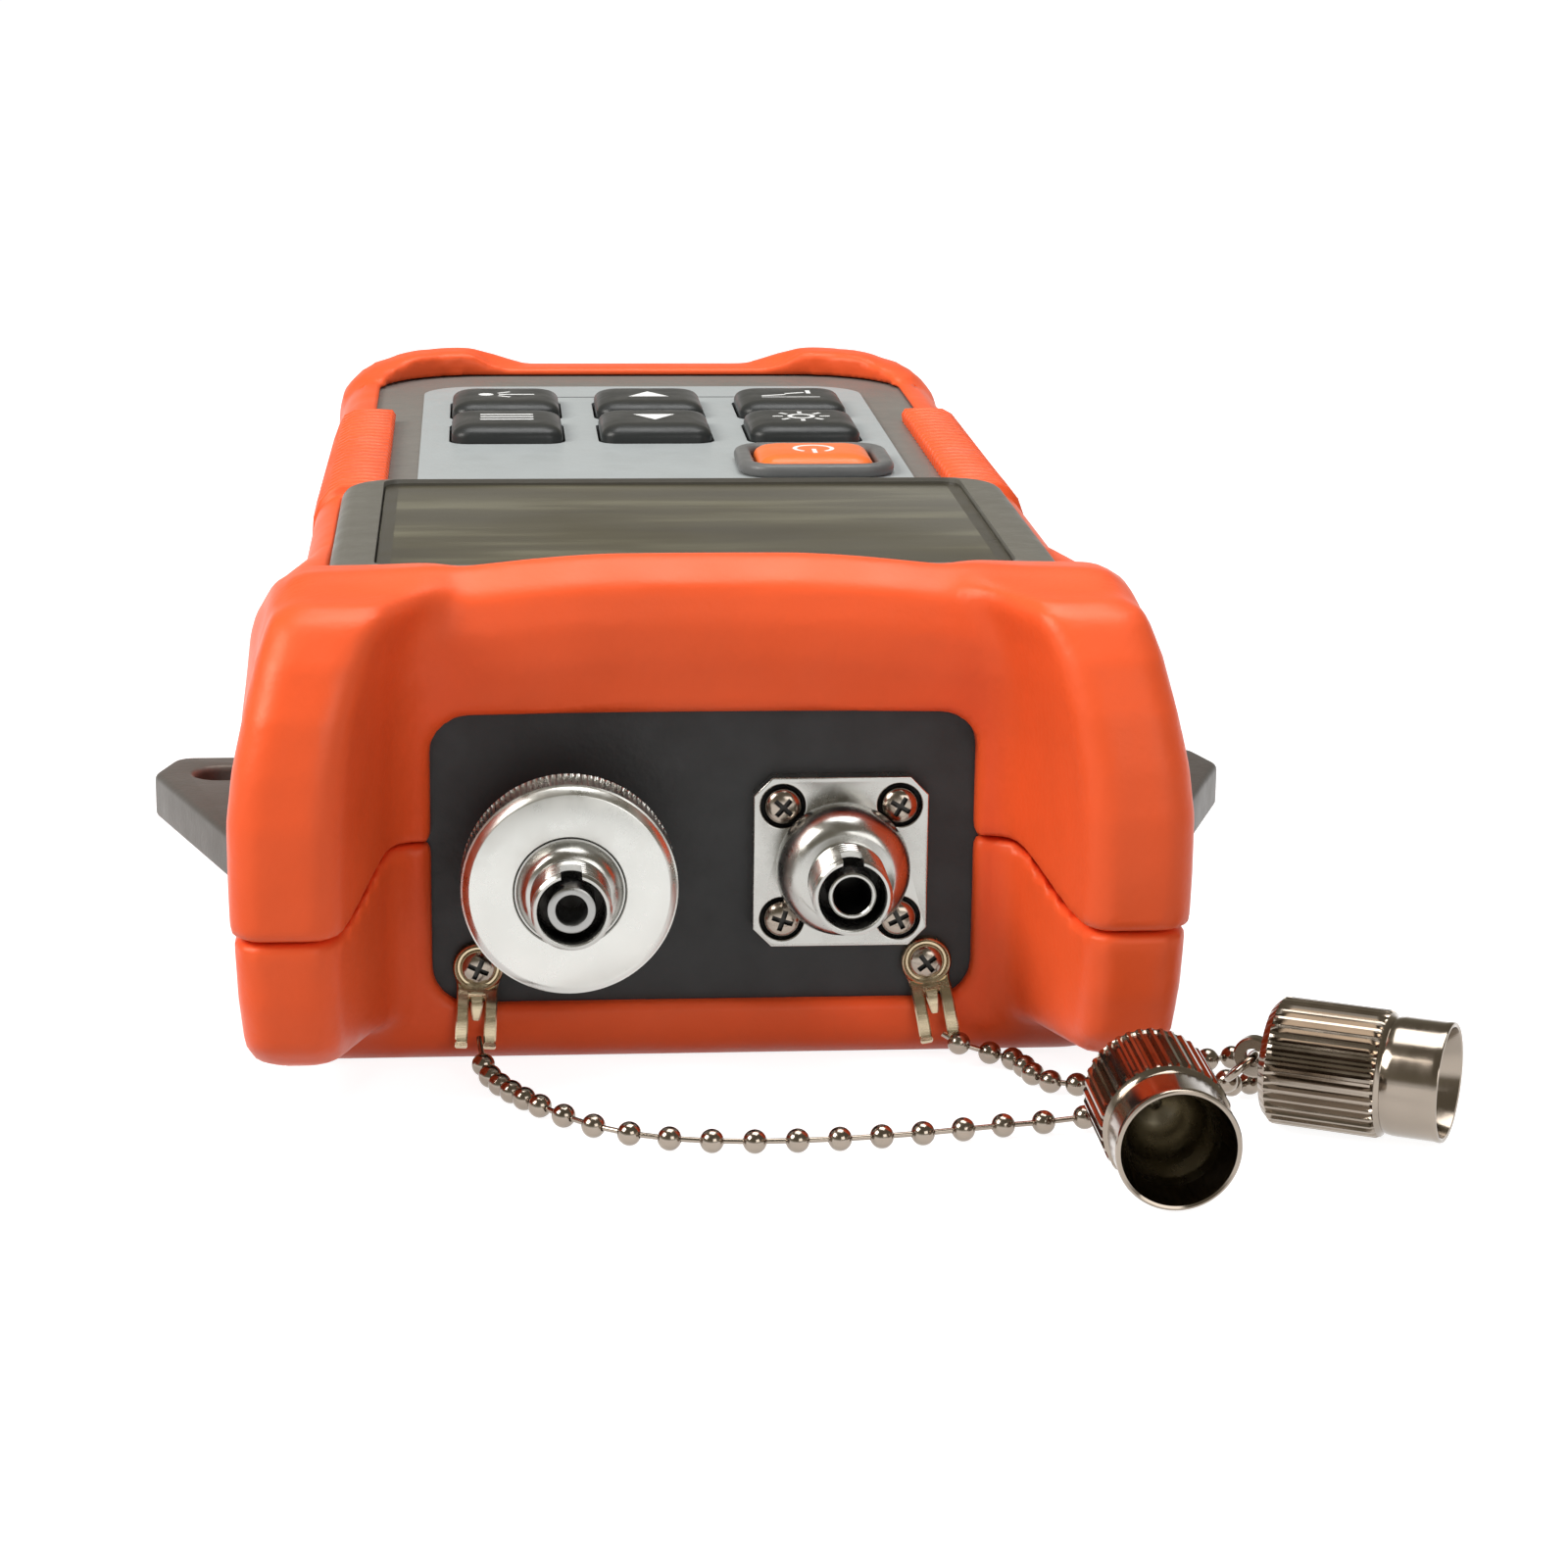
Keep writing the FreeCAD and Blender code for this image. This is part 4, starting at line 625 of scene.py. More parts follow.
def dust_cap(name, node, place):
    """Knurled body, plain collar and a bell-shaped mouth."""
    r = CAP_R
    end = CAP_LENGTH
    profile = [(0.0, 0.0), (0.0, r - 1.3), (0.15, r - 0.8), (0.9, r - 0.05)]
    profile += [(s, r) for s in np.linspace(1.0, CAP_KNURL - 0.6, 16)]
    profile += [(CAP_KNURL - 0.2, r - 0.15), (CAP_KNURL, r - 0.45), (CAP_KNURL + 0.25, r - 0.62)]
    profile += [(CAP_KNURL + 0.6, r - 0.5), (CAP_KNURL + 1.2, r - 0.42)]
    mouth = [(0.8, 0.42), (0.25, 0.36), (0.05, 0.45), (0, 0.62), (0.1, 0.85), (1.2, 1.12), (3.0, 1.75),
             (4.0, 2.1), (4.6, 2.2), (9.0, 2.2)]
    profile += [(end - depth, r - drop) for depth, drop in mouth]
    painted_shade_bore = [(10.6, 3.8), (11.9, 3.0), (12.7, 1.9), (12.95, 0.8), (13.1, 0.62), (14.2, 0.55), (14.2, 0.0)]
    profile += [(end - depth, radius) for depth, radius in painted_shade_bore]
    cap = lathe(name, profile, "bright_nickel", 288, knurl(36, 0.6, 0.8, CAP_KNURL - 0.2))
    # painted shade: the cap's inner faces take the darker colour
    paint(cap, "cap_inside_painted_shade", lambda c: 3.0 < c.y < end - 3.4 and math.hypot(c.x, c.z) < r - 1.7)
    eye = lathe("eye", [(-0.65, 0.95), (-0.65, 1.9), (-0.45, 2.1), (0.45, 2.1), (0.65, 1.9), (0.65, 0.95)],
                "bright_nickel", 32, closed=True)
    move(eye, shift(0, EYE_MIDDLE, 0) @ Matrix.Rotation(math.radians(90), 4, "Z"))
    cap = sharpen(join(name, [cap, eye]), 32)
    move(cap, on_floor(place))
    return settle(cap, (node,))


def cap_ring(name, node, place):
    """Split wire ring through the cap's eye."""
    count, around = 40, 12
    points = np.zeros((count, around, 3))
    for i in range(count):
        a = 2 * math.pi * i / count
        for j in range(around):
            b = 2 * math.pi * j / around
            reach = RING_R + RING_WIRE * math.cos(b)
            points[i, j] = (reach * math.cos(a), reach * math.sin(a), RING_WIRE * math.sin(b))
    points = np.concatenate([points, points[:1]])
    ring = grid_mesh(name, points, "bright_nickel")
    slope = math.sqrt(0.5) * RING_R
    tilt = Matrix.Rotation(math.radians(45), 4, "X")
    move(ring, on_floor(place) @ shift(0, EYE_MIDDLE - slope, -slope) @ tilt)
    weld(ring.data, outward=False)
    return settle(ring, (node,))


front_cap = dust_cap("dust_cap_front_look", "dust_cap_front", LEFT_CAP)
side_cap = dust_cap("dust_cap_side_look", "dust_cap_side", RIGHT_CAP)
front_ring = cap_ring("cap_ring_front_look", "cap_ring_front", LEFT_CAP)
side_ring = cap_ring("cap_ring_side_look", "cap_ring_side", RIGHT_CAP)
bead_chain("chain_left", LEFT_CHAIN, 3.6, [2.5, 2.5, 2.5, 2.5, 2.7, 3.8], 4.3)
bead_chain("chain_right", RIGHT_CHAIN, 2.0, [3.4, 2.6, 2.45, 2.45, 2.9], 2.75)


# --- rubber boot ---
FRONT = -99.0
BACK = 99.0
FOOT = -79.0
PANEL_FACE = node_box("end_panel")[0][1]
RAIL_TOP = 48.1
TAIL_INNER = 20.5
STEP = 0.8                # grid of the moulded shape
GRID_LOW = (-49.2, -101.2, -1.2)
GRID_HIGH = (49.2, 101.2, 56.4)
TUB_ROUND = 8.0           # corner radii in plan
FAR_CORNER = 11.0
DECK_ROUND = 9.0
DECK_CORNER = 14.0
PANEL_CORNER = 4.0
PANEL_HALF_X = 27.9
PANEL_HALF_Z = 15.5
PANEL_MIDDLE = 22.1
SPLIT = 0.12              # half the gap between the two boots


def smooth_min(a, b, k):
    h = np.maximum(k - np.abs(a - b), 0) / k
    return np.minimum(a, b) - h * h * k / 4


def smooth_max(a, b, k):
    return -smooth_min(-a, -b, k)


def polygon_distance(px, py, points):
    """Signed distance to a polygon in plan, negative inside."""
    best = np.full(np.broadcast(px, py).shape, 1e9, np.float32)
    sign = np.ones_like(best)
    for (ax, ay), (bx, by) in zip(points, points[-1:] + points[:-1]):
        ex, ey = bx - ax, by - ay
        wx, wy = px - ax, py - ay
        t = np.clip((wx * ex + wy * ey) / (ex * ex + ey * ey), 0, 1)
        best = np.minimum(best, (wx - ex * t) ** 2 + (wy - ey * t) ** 2)
        above, below, left = py >= ay, py < by, ex * wy > ey * wx
        sign = np.where((above & below & left) | (~above & ~below & ~left), -sign, sign)
    return sign * np.sqrt(best)


def prism(flat, z, low, high, edge):
    """Distance to a plan shape between two heights, with rounded edges."""
    side = flat + edge
    rise = np.abs(z - (low + high) / 2) - (high - low) / 2 + edge
    outside = np.hypot(np.maximum(side, 0), np.maximum(rise, 0))
    return np.minimum(np.maximum(side, rise), 0) + outside - edge


def slab(x, y, z, corners, radius, low, high, edge):
    """Distance to a plan outline between two heights, its corners given drawn in by radius."""
    flat = polygon_distance(x[:, :, 0], y[:, :, 0], corners) - radius
    return prism(flat[:, :, None], z, low, high, edge)


def mirrored(points):
    return points + [(-x, y) for x, y in reversed(points)]


def ease(x, low, high):
    t = np.clip((x - low) / (high - low), 0, 1)
    return t * t * (3 - 2 * t)


def arc(x, y, radius, steps=4):
    """Quarter turn round (x, y), from +X to +Y."""
    turns = [math.pi / 2 * i / steps for i in range(steps + 1)]
    return [(x + radius * math.cos(a), y + radius * math.sin(a)) for a in turns]


def horn_section(z):
    """Plan of a front horn at one height, drawn in by its corner radius."""
    heights = [4.0, 5.5, 8.0, 13.0, 19.0, 25.0, 31.0, 36.0, 41.0, 46.0, 50.0, 53.0]
    setback = np.interp(z, heights, [8.2, 4.8, 2.5, 1.1, 0.3, 0.0, 0.1, 0.9, 2.2, 4.6, 7.6, 11.0])
    outer = np.interp(z, heights, [44.6, 45.8, 46.6, 47.0, 47.2, 47.3, 47.3, 46.7, 45.6, 44.4, 43.0, 40.5])
    inner = np.interp(z, heights, [37.0, 36.2, 36.0, 36.0, 36.0, 36.0, 35.8, 35.4, 34.6, 33.2, 31.2, 29.0])
    r = 3.6
    front = FRONT + setback + r
    root = inner - 4.5
    rear = FOOT + 14 - max(0.0, z - 42.0)
    return [(inner + r, front), (outer - r, front), (outer - r, rear), (root + r, rear), (root + r, FOOT)], r


def tail_section(z):
    """Plan of a far corner lobe at one height. Its front slopes up from the deck."""
    heights = [8.0, 12.0, 20.0, 34.0, 42.0, 46.0, 48.0, 49.5, 50.6]
    setback = np.interp(z, heights, [6.0, 2.6, 0.6, 0.0, 0.6, 1.6, 2.6, 4.2, 7.0])
    outer = np.interp(z, heights, [40.2, 40.6, 41.0, 41.0, 40.8, 40.2, 38.6, 36.2, 32.5])
    r = 3.0
    end = BACK - setback
    above = max(0.0, z - 45.5)
    start = BACK - 26.0 + 2.4 * above + r
    inner = TAIL_INNER + 0.5 * above + r
    turn = min(16.0, end - start + r) - r
    corner = arc(outer - r - turn, end - r - turn, turn)
    return [(inner, end - r), (inner, start), (outer - r, start)] + corner, r


def stack(x, y, z, section, low, high, edge):
    """Distance to a shape given by its plan at each height."""
    flat = np.zeros((x.shape[0], y.shape[1], z.shape[2]), np.float32)
    for k, height in enumerate(z[0, 0]):
        corners, radius = section(min(max(height, low), high))
        flat[:, :, k] = polygon_distance(x[:, :, 0], y[:, :, 0], corners) - radius
    return prism(flat, z, low, high, edge)


def parting_height(x):
    """Height of the joint between the two boots: a step down outside the panel."""
    return 24.0 - 4.5 * ease(np.abs(x), 31.5, 37.0)


def lip_bow(x):
    """How far the lip's front is bowed back at its middle."""
    return 3.2 * np.clip(1 - (x / 38.0) ** 2, 0, 1)


# the lip's section in (y, z), drawn in by its rounding
LIP_SECTION = [
    (-76.3, 32.0), (-80.3, 44.0), (-80.6, 46.8), (-79.9, 49.0), (-77.6, 50.35), (-60.0, 47.2), (-60.0, 32.0)]
LIP_ROUND = 2.8
LIP_BACK = -70.8
LIP_HALF = 42.2


def boot_shape(x, y, z):
    side = np.abs(x)
    r = TUB_ROUND
    near = [(45.4 - r, FOOT + r), (45.4 - r, -66.0 + r), (42 - r, -50 + r), (42 - r, 0.0)]
    far = arc(41.2 - FAR_CORNER, 94.3 - FAR_CORNER, FAR_CORNER - r)
    tub = slab(side, y, z, mirrored(near + far), r, 0.0, RAIL_TOP, 4.6)
    crowned = z + 1.7 * ease(side, 8, 36)
    lip = polygon_distance(y - lip_bow(x), crowned, LIP_SECTION) - LIP_ROUND
    lip = smooth_max(smooth_max(lip, y - LIP_BACK, 2.4), side - LIP_HALF, 5.0)
    shape = smooth_min(tub, lip, 3.0)
    far_wall = slab(side, y, z, mirrored([(27.0, 87.0), (27.0, 91.4)]), 3.0, 10.0, 48.2, 2.6)
    shape = smooth_min(shape, far_wall, 0.8)
    horn = stack(side, y, z, horn_section, 4.5, 51.0, 2.2)
    shape = smooth_min(shape, horn, 3.5)
    tail = stack(side, y, z, tail_section, 9.0, 50.4, 1.8)
    shape = smooth_min(shape, tail, 4.0)
    return np.maximum(shape, -z + 0.02)


def boot_hollows(x, y, z):
    """Room for the casing and everything that shows through the boot."""
    side = np.abs(x)
    case = mirrored([(30.75, -66.65), (30.75, 84.15)])
    wide = mirrored([(38.55, -70.4), (38.55, -12.3)])
    far = arc(36.0 - DECK_CORNER, 85.6 - DECK_CORNER, DECK_CORNER - DECK_ROUND)
    deck = mirrored([(36.0 - DECK_ROUND, -60.0 + DECK_ROUND)] + far)
    door = mirrored([(20.9, 3.1), (20.9, 80.6)])
    lug = [(31.0, -58.8), (40.5, -58.8), (42.2, -83.0), (47.0, -85.0), (58.5, -55.8), (56.0, -48.2),
           (31.0, -48.2)]
    room = slab(side, y, z, case, TUB_ROUND, 2.45, 47.35, 1.8)
    openings = ((wide, 0, 45.0, 70.0), (deck, DECK_ROUND, 45.0, 70.0), (door, 2.0, -5.0, 4.0),
                (lug, 0, 20.75, 26.05))
    for corners, radius, low, high in openings:
        room = np.minimum(room, slab(side, y, z, corners, radius, low, high, 0.1))
    # the end panel's opening, a rounded rectangle in (x, z)
    across = side - (PANEL_HALF_X - PANEL_CORNER)
    high = np.abs(z - PANEL_MIDDLE) - (PANEL_HALF_Z - PANEL_CORNER)
    panel = np.hypot(np.maximum(across, 0), np.maximum(high, 0)) + np.minimum(np.maximum(across, high), 0)
    return np.minimum(room, smooth_max(panel - PANEL_CORNER, y + 70.0, 0.5))


def surface_net(field, origin, step):
    """Quad mesh of the zero level of a field: one vertex in each cell that it crosses."""
    inside = field < 0
    cells = tuple(n - 1 for n in field.shape)
    counts = np.zeros(cells, np.int8)
    offsets = list(np.ndindex(2, 2, 2))
    for i, j, k in offsets:
        counts += inside[i:i + cells[0], j:j + cells[1], k:k + cells[2]]
    active = np.argwhere((counts > 0) & (counts < 8))
    index = np.full(cells, -1, np.int32)
    index[tuple(active.T)] = np.arange(len(active))
    corner = {o: field[tuple((active + o).T)] for o in offsets}
    total = np.zeros((len(active), 3))
    hits = np.zeros(len(active))
    for axis in range(3):
        for o in offsets:
            if o[axis]:
                continue
            far = tuple(c + (n == axis) for n, c in enumerate(o))
            a, b = corner[o], corner[far]
            crosses = (a < 0) != (b < 0)
            share = np.where(crosses, a / np.where(crosses, a - b, 1), 0)
            place = np.array(o, float) + share[:, None] * np.eye(3)[axis]
            total += place * crosses[:, None]
            hits += crosses
    verts = (active + total / hits[:, None]) * step + origin
    faces = []
    for axis in range(3):
        u, v = [n for n in range(3) if n != axis]
        low = [slice(0, -1) if n == axis else slice(1, -1) for n in range(3)]
        high = [slice(1, None) if n == axis else slice(1, -1) for n in range(3)]
        flips = inside[tuple(low)] != inside[tuple(high)]
        where = np.argwhere(flips)
        where[:, u] += 1
        where[:, v] += 1
        starts_inside = inside[tuple(where.T)]
        quad = []
        for du, dv in ((-1, -1), (0, -1), (0, 0), (-1, 0)):
            cell = where.copy()
            cell[:, u] += du
            cell[:, v] += dv
            quad.append(index[tuple(cell.T)])
        quad = np.stack(quad, 1)
        turn = starts_inside if axis != 1 else ~starts_inside
        quad[~turn] = quad[~turn][:, ::-1]
        faces.append(quad)
    return verts, np.concatenate(faces)


def sample(field, origin, step, points):
    """Field between its grid points."""
    g = (points - origin) / step
    i = np.clip(np.floor(g).astype(int), 0, np.array(field.shape) - 2)
    f = g - i
    value = 0
    for a, b, c in np.ndindex(2, 2, 2):
        weight = (f[:, 0] if a else 1 - f[:, 0]) * (f[:, 1] if b else 1 - f[:, 1])
        weight = weight * (f[:, 2] if c else 1 - f[:, 2])
        value = value + weight * field[i[:, 0] + a, i[:, 1] + b, i[:, 2] + c]
    return value


def moulded(name, field, origin, step):
    """Mesh of a field's surface, its vertices slid onto the zero level."""
    verts, faces = surface_net(field, origin, step)
    slopes = np.gradient(field, step)
    for _ in range(3):
        value = sample(field, origin, step, verts)
        slope = np.stack([sample(s, origin, step, verts) for s in slopes], 1)
        length = np.maximum((slope ** 2).sum(1), 0.05)
        verts = verts - np.clip(value / length, -0.3, 0.3)[:, None] * slope
    return add_mesh(name, verts.tolist(), faces.tolist(), "rubber_orange")


GRIP_SPAN = (-11.3, 45.7)
GRIP_RIBS = 24


def grip_pad(side):
    """Ribbed pad that wraps over the rail and the casing's edge: a rounded section swept along it."""
    # (x, z, how far a groove cuts in, how far it cuts down)
    section = [(33.6, 47.25, 0.5, 0), (33.45, 48.3, 0.7, 0), (33.9, 49.0, 0.5, 1), (36.6, 49.15, 0, 1),
               (38.9, 49.0, 0, 1), (40.2, 48.3, -0.4, 0.7), (41.4, 46.9, -0.6, 0.3), (42.1, 45.0, -0.6, 0),
               (42.3, 42.5, -0.6, 0), (42.35, 38.0, -0.6, 0), (42.3, 33.0, -0.6, 0), (42.1, 32.2, 0, 0),
               (41.0, 32.0, 0, 0)]
    low, high = GRIP_SPAN
    steps = GRIP_RIBS * 10
    rings = []
    for i in range(steps + 1):
        y = low + (high - low) * i / steps
        end = min(i, steps - i) / 5
        groove = math.cos(2 * math.pi * GRIP_RIBS * i / steps)
        sunk = 0.75 * max(0.0, 1 - end) ** 2 + 0.55 * min(1.0, max(0.0, (groove - 0.1) * 2.2))
        taper = max(0.0, 0.8 * y / 81.5)
        rings.append([(side * (x + sunk * across - taper * (x > 41)), y, z - sunk * down)
                      for x, z, across, down in section])
    pad = grid_mesh("pad", np.array(rings), "rubber_orange", wrap=False)
    if side > 0:
        pad.data.flip_normals()
    return pad


def make_boots():
    low = np.array(GRID_LOW)
    size = np.ceil((np.array(GRID_HIGH) - low) / STEP).astype(int)
    x = (low[0] + STEP * np.arange(size[0] + 1))[:, None, None]
    y = (low[1] + STEP * np.arange(size[1] + 1))[None, :, None]
    z = (low[2] + STEP * np.arange(size[2] + 1))[None, None, :]
    shape = boot_shape(x, y, z).astype(np.float32)
    hollow = boot_hollows(x, y, z).astype(np.float32)
    over = (z - parting_height(x)) * np.ones_like(shape)
    drawn_in = shape + 0.35 * ease(z, 1.0, 5.0)
    upper = smooth_max(smooth_max(shape, SPLIT - over, 0.9), -hollow, 0.5)
    lower = smooth_max(smooth_max(drawn_in, SPLIT + over, 0.9), -hollow, 0.5)
    pads = [grip_pad(side) for side in (-1, 1)]
    top = join("boot_upper", [moulded("upper", upper, low, STEP)] + pads)
    top.data.shade_smooth()
    bottom = moulded("boot_lower", lower, low, STEP)
    settle(top, ("upper_boot",))
    settle(bottom, ("lower_boot",))


make_boots()


# --- ports ---
PORT_X = 14.0
PORT_Z = 21.7
NUT_FACE = node_box("coupling_nut")[0][1]
LASER_TIP = node_box("laser_port_insert")[0][1]
TEST_TIP = node_box("test_port_body")[0][1]
FLANGE_THICK = 2.0
FLANGE_FACE = PANEL_FACE - FLANGE_THICK
SCREW_REACH = 6.0         # from a port's axis to its screws, across and up
LASER_BODY = "laser_insert_body"
THREAD_PITCH = 0.75
SLEEVE_DEPTH = 0.55
TAB_X = 23.2
TAB_Z = 10.5


def thread(pitch, depth, start, end):
    """Single-start thread on the outside of a barrel of 4 mm radius."""
    def wobble(along, angle, radius):
        turn = (along / pitch - angle / (2 * math.pi)) % 1.0
        ridge = np.clip(np.abs(turn * 2 - 1) * 1.5 - 0.25, 0, 1)
        fade = np.clip((along - start) / 0.3, 0, 1) * np.clip((end - along) / 0.3, 0, 1)
        return -depth * ridge * fade * (radius > 3.95) * (radius < 4.05)
    return wobble


def rim_knurl(count, depth, start, end, radius_above):
    def wobble(along, angle, radius):
        wave = np.abs((angle * count / (2 * math.pi)) % 1.0 * 2 - 1)
        return -depth * wave * (along > start) * (along < end) * (radius > radius_above)
    return wobble


def block(x, y, z, look):
    corners = [(x[i], y[j], z[k]) for i, j, k in np.ndindex(2, 2, 2)]
    faces = [(0, 1, 3, 2), (4, 6, 7, 5), (0, 4, 5, 1), (2, 3, 7, 6), (0, 2, 6, 4), (1, 5, 7, 3)]
    return add_mesh("block", corners, faces, look, smooth=False)


def keyway(obj, x, tip):
    """Notch for the connector's key, on top of the barrel."""
    return cut(obj, block((x - 1.05, x + 1.05), (tip - 1, tip + 3.4), (PORT_Z + 1, PORT_Z + 6), "nickel"))


def barrel_profile(bore_depth, thread_end):
    start = [(bore_depth, 0), (bore_depth, 3.3), (0.3, 3.3), (0.04, 3.45), (0, 3.55), (0, 3.72), (0.1, 3.84)]
    return start + [(0.28, 4.0)] + [(a, 4.0) for a in np.arange(0.45, thread_end, 0.125)]


def barrel(name, profile, segments, cut_thread, x, tip):
    """Threaded barrel with a keyway, at its port; the inside of the barrel is painted near-black as shade."""
    body = lathe(name, profile, "nickel", segments, cut_thread)
    face_out(body, x, tip, PORT_Z)
    keyway(body, x, tip)
    # painted shade inside the barrel
    paint(body, "painted_shade_bore", lambda c: c.y > tip + 0.5 and math.hypot(c.x - x, c.z - PORT_Z) < 3.25)
    return sharpen(body)


def guide_sleeve(name, node, profile, look, x, tip, body=BODY):
    """Sleeve that takes the plug's ferrule, just inside a barrel."""
    sleeve = lathe(name, profile, look, 64, closed=True)
    face_out(sleeve, x, tip + SLEEVE_DEPTH, PORT_Z)
    if look == "nickel":    # painted shade: the plated sleeve's inside is painted near-black
        paint(sleeve, "painted_shade_bore", lambda c: math.hypot(c.x - x, c.z - PORT_Z) < 1.9)
    settle(sharpen(sleeve), (node,), body)


def coupling_nut():
    profile = [(1.4, 5.62), (0.12, 5.62), (0, 5.74), (0, 9.95), (0.06, 10.08), (0.55, 10.55), (0.7, 10.66)]
    profile += [(0.9, 10.68), (1.0, 10.86), (1.15, 10.95), (5.1, 10.95), (5.25, 10.86), (5.4, 10.5)]
    profile += [(5.4, 7.7), (1.4, 7.7)]
    nut = lathe("coupling_nut_look", profile, "nut", 792, rim_knurl(110, 0.6, 1.05, 5.2, 10.9), True)
    face_out(nut, -PORT_X, NUT_FACE, PORT_Z)
    settle(sharpen(nut, 25), ("coupling_nut",), "coupling_nut_body")


def laser_insert():
    profile = barrel_profile(6.0, 4.9)
    profile += [(5.0, 4.02), (5.1, 4.3), (5.35, 4.62), (5.8, 4.92), (6.3, 5.14), (6.86, 5.3)]
    profile += [(6.95, 5.36), (6.98, 5.52), (9.0, 5.52), (9.0, 0)]
    ridges = thread(THREAD_PITCH, 0.2, 0.5, 4.8)
    body = barrel("laser_insert_look", profile, 128, ridges, -PORT_X, LASER_TIP)
    settle(body, ("laser_port_insert",), LASER_BODY)
    ring = [(6.0, 1.3), (1.2, 1.3), (0.2, 1.5), (0.02, 1.62), (0, 1.8), (0, 2.2), (0.1, 2.36), (0.3, 2.4)]
    guide_sleeve("laser_sleeve_look", "laser_port_sleeve", ring + [(6.0, 2.4)], "sleeve",
                 -PORT_X, LASER_TIP, LASER_BODY)


def circle(x, y, radius, count=40):
    turns = [2 * math.pi * i / count for i in range(count)]
    return [(x + radius * math.cos(a), y + radius * math.sin(a)) for a in turns]


def screw_places():
    return [(PORT_X + i * SCREW_REACH, PORT_Z + k * SCREW_REACH) for i in (-1, 1) for k in (-1, 1)]


def test_port():
    half, corner = 9.0, 1.9
    outline = [(half, -half + corner), (half, half - corner), (half - corner, half), (corner - half, half),
               (-half, half - corner), (-half, corner - half), (corner - half, -half), (half - corner, -half)]
    seats = [circle(x - PORT_X, z - PORT_Z, 2.3) for x, z in screw_places()]
    flange = plate("flange", [outline] + seats, 0, FLANGE_THICK, 0.16, "nickel")
    upright(flange, PORT_X, PANEL_FACE, PORT_Z)
    profile = barrel_profile(8.0, 6.0)
    profile += [(6.1, 4.0), (6.2, 3.8), (6.6, 3.8), (6.7, 4.05), (6.75, 4.6), (6.9, 5.05), (7.3, 5.6)]
    profile += [(7.9, 6.1), (8.6, 6.5), (9.5, 6.78), (10.4, 6.88), (11.3, 6.82), (12.2, 6.6), (13.2, 6.3)]
    profile += [(13.2, 0)]
    dome = barrel("dome", profile, 160, thread(THREAD_PITCH, 0.3, 0.5, 6.0), PORT_X, TEST_TIP)
    settle(join("test_port_look", [flange, dome]), ("test_port_body",))
    ring = [(6.0, 1.3), (2.6, 1.3), (0.7, 1.86), (0.1, 1.94), (0, 2.04), (0, 2.24), (0.1, 2.38), (6.0, 2.38)]
    guide_sleeve("test_sleeve_look", "test_port_sleeve", ring, "nickel", PORT_X, TEST_TIP)


def pan_screw(x, y, z, turn, radius=1.92):
    """Pan head facing -Y, with a cross recess turned by so many degrees and painted near-black as shade."""
    profile = [(-1.2, 0), (-1.19, 0.5), (-1.12, 1.0), (-0.96, 1.4), (-0.68, 1.72), (-0.34, radius - 0.04)]
    profile += [(-0.2, radius), (-0.05, radius), (0, radius - 0.1), (0, 0.9), (1.2, 0.9), (1.2, 0)]
    screw = lathe("screw", profile, "port screws", 48)
    arms = []
    for angle in (turn, turn + 90):
        # painted shade: the cutters give the cross recess a near-black colour
        arm = block((-1.12, 1.12), (-2.0, -0.5), (-0.26, 0.26), "painted_shade_bore")
        arms.append(move(arm, Matrix.Rotation(math.radians(angle), 4, "Y")))
    cut(screw, *arms)
    sharpen(screw, 40)
    return face_out(screw, x, y, z)


def screws():
    turns = (18, 41, 63, 30)
    heads = [pan_screw(x, FLANGE_FACE + 0.35, z, t) for (x, z), t in zip(screw_places(), turns)]
    settle(join("flange_screw_heads", heads), ("flange_screws",))
    heads = [pan_screw(side * TAB_X, PANEL_FACE - 0.4, TAB_Z, turn) for side, turn in ((-1, 24), (1, 52))]
    settle(join("tab_screw_heads", heads), ("tab_screws",))


# --- chain tabs ---
def strip(path, spans, look, thick=0.5):
    """Bent strip of sheet. path is (y, z) along it, spans the (low, high) x at each point."""
    rings = []
    for i, ((y, z), (low, high)) in enumerate(zip(path, spans)):
        before, after = path[max(i - 1, 0)], path[min(i + 1, len(path) - 1)]
        ahead = Vector((after[0] - before[0], after[1] - before[1])).normalized()
        side = Vector((ahead.y, -ahead.x)) * thick / 2
        soft = thick * 0.3
        ring = []
        for x, s in ((low, 0.4), (low + soft, 1), (high - soft, 1), (high, 0.4),
                     (high, -0.4), (high - soft, -1), (low + soft, -1), (low, -0.4)):
            ring.append((x, y + side.x * s, z + side.y * s))
        rings.append(ring)
    return grid_mesh("strip", np.array(rings), look, caps=(True, True))


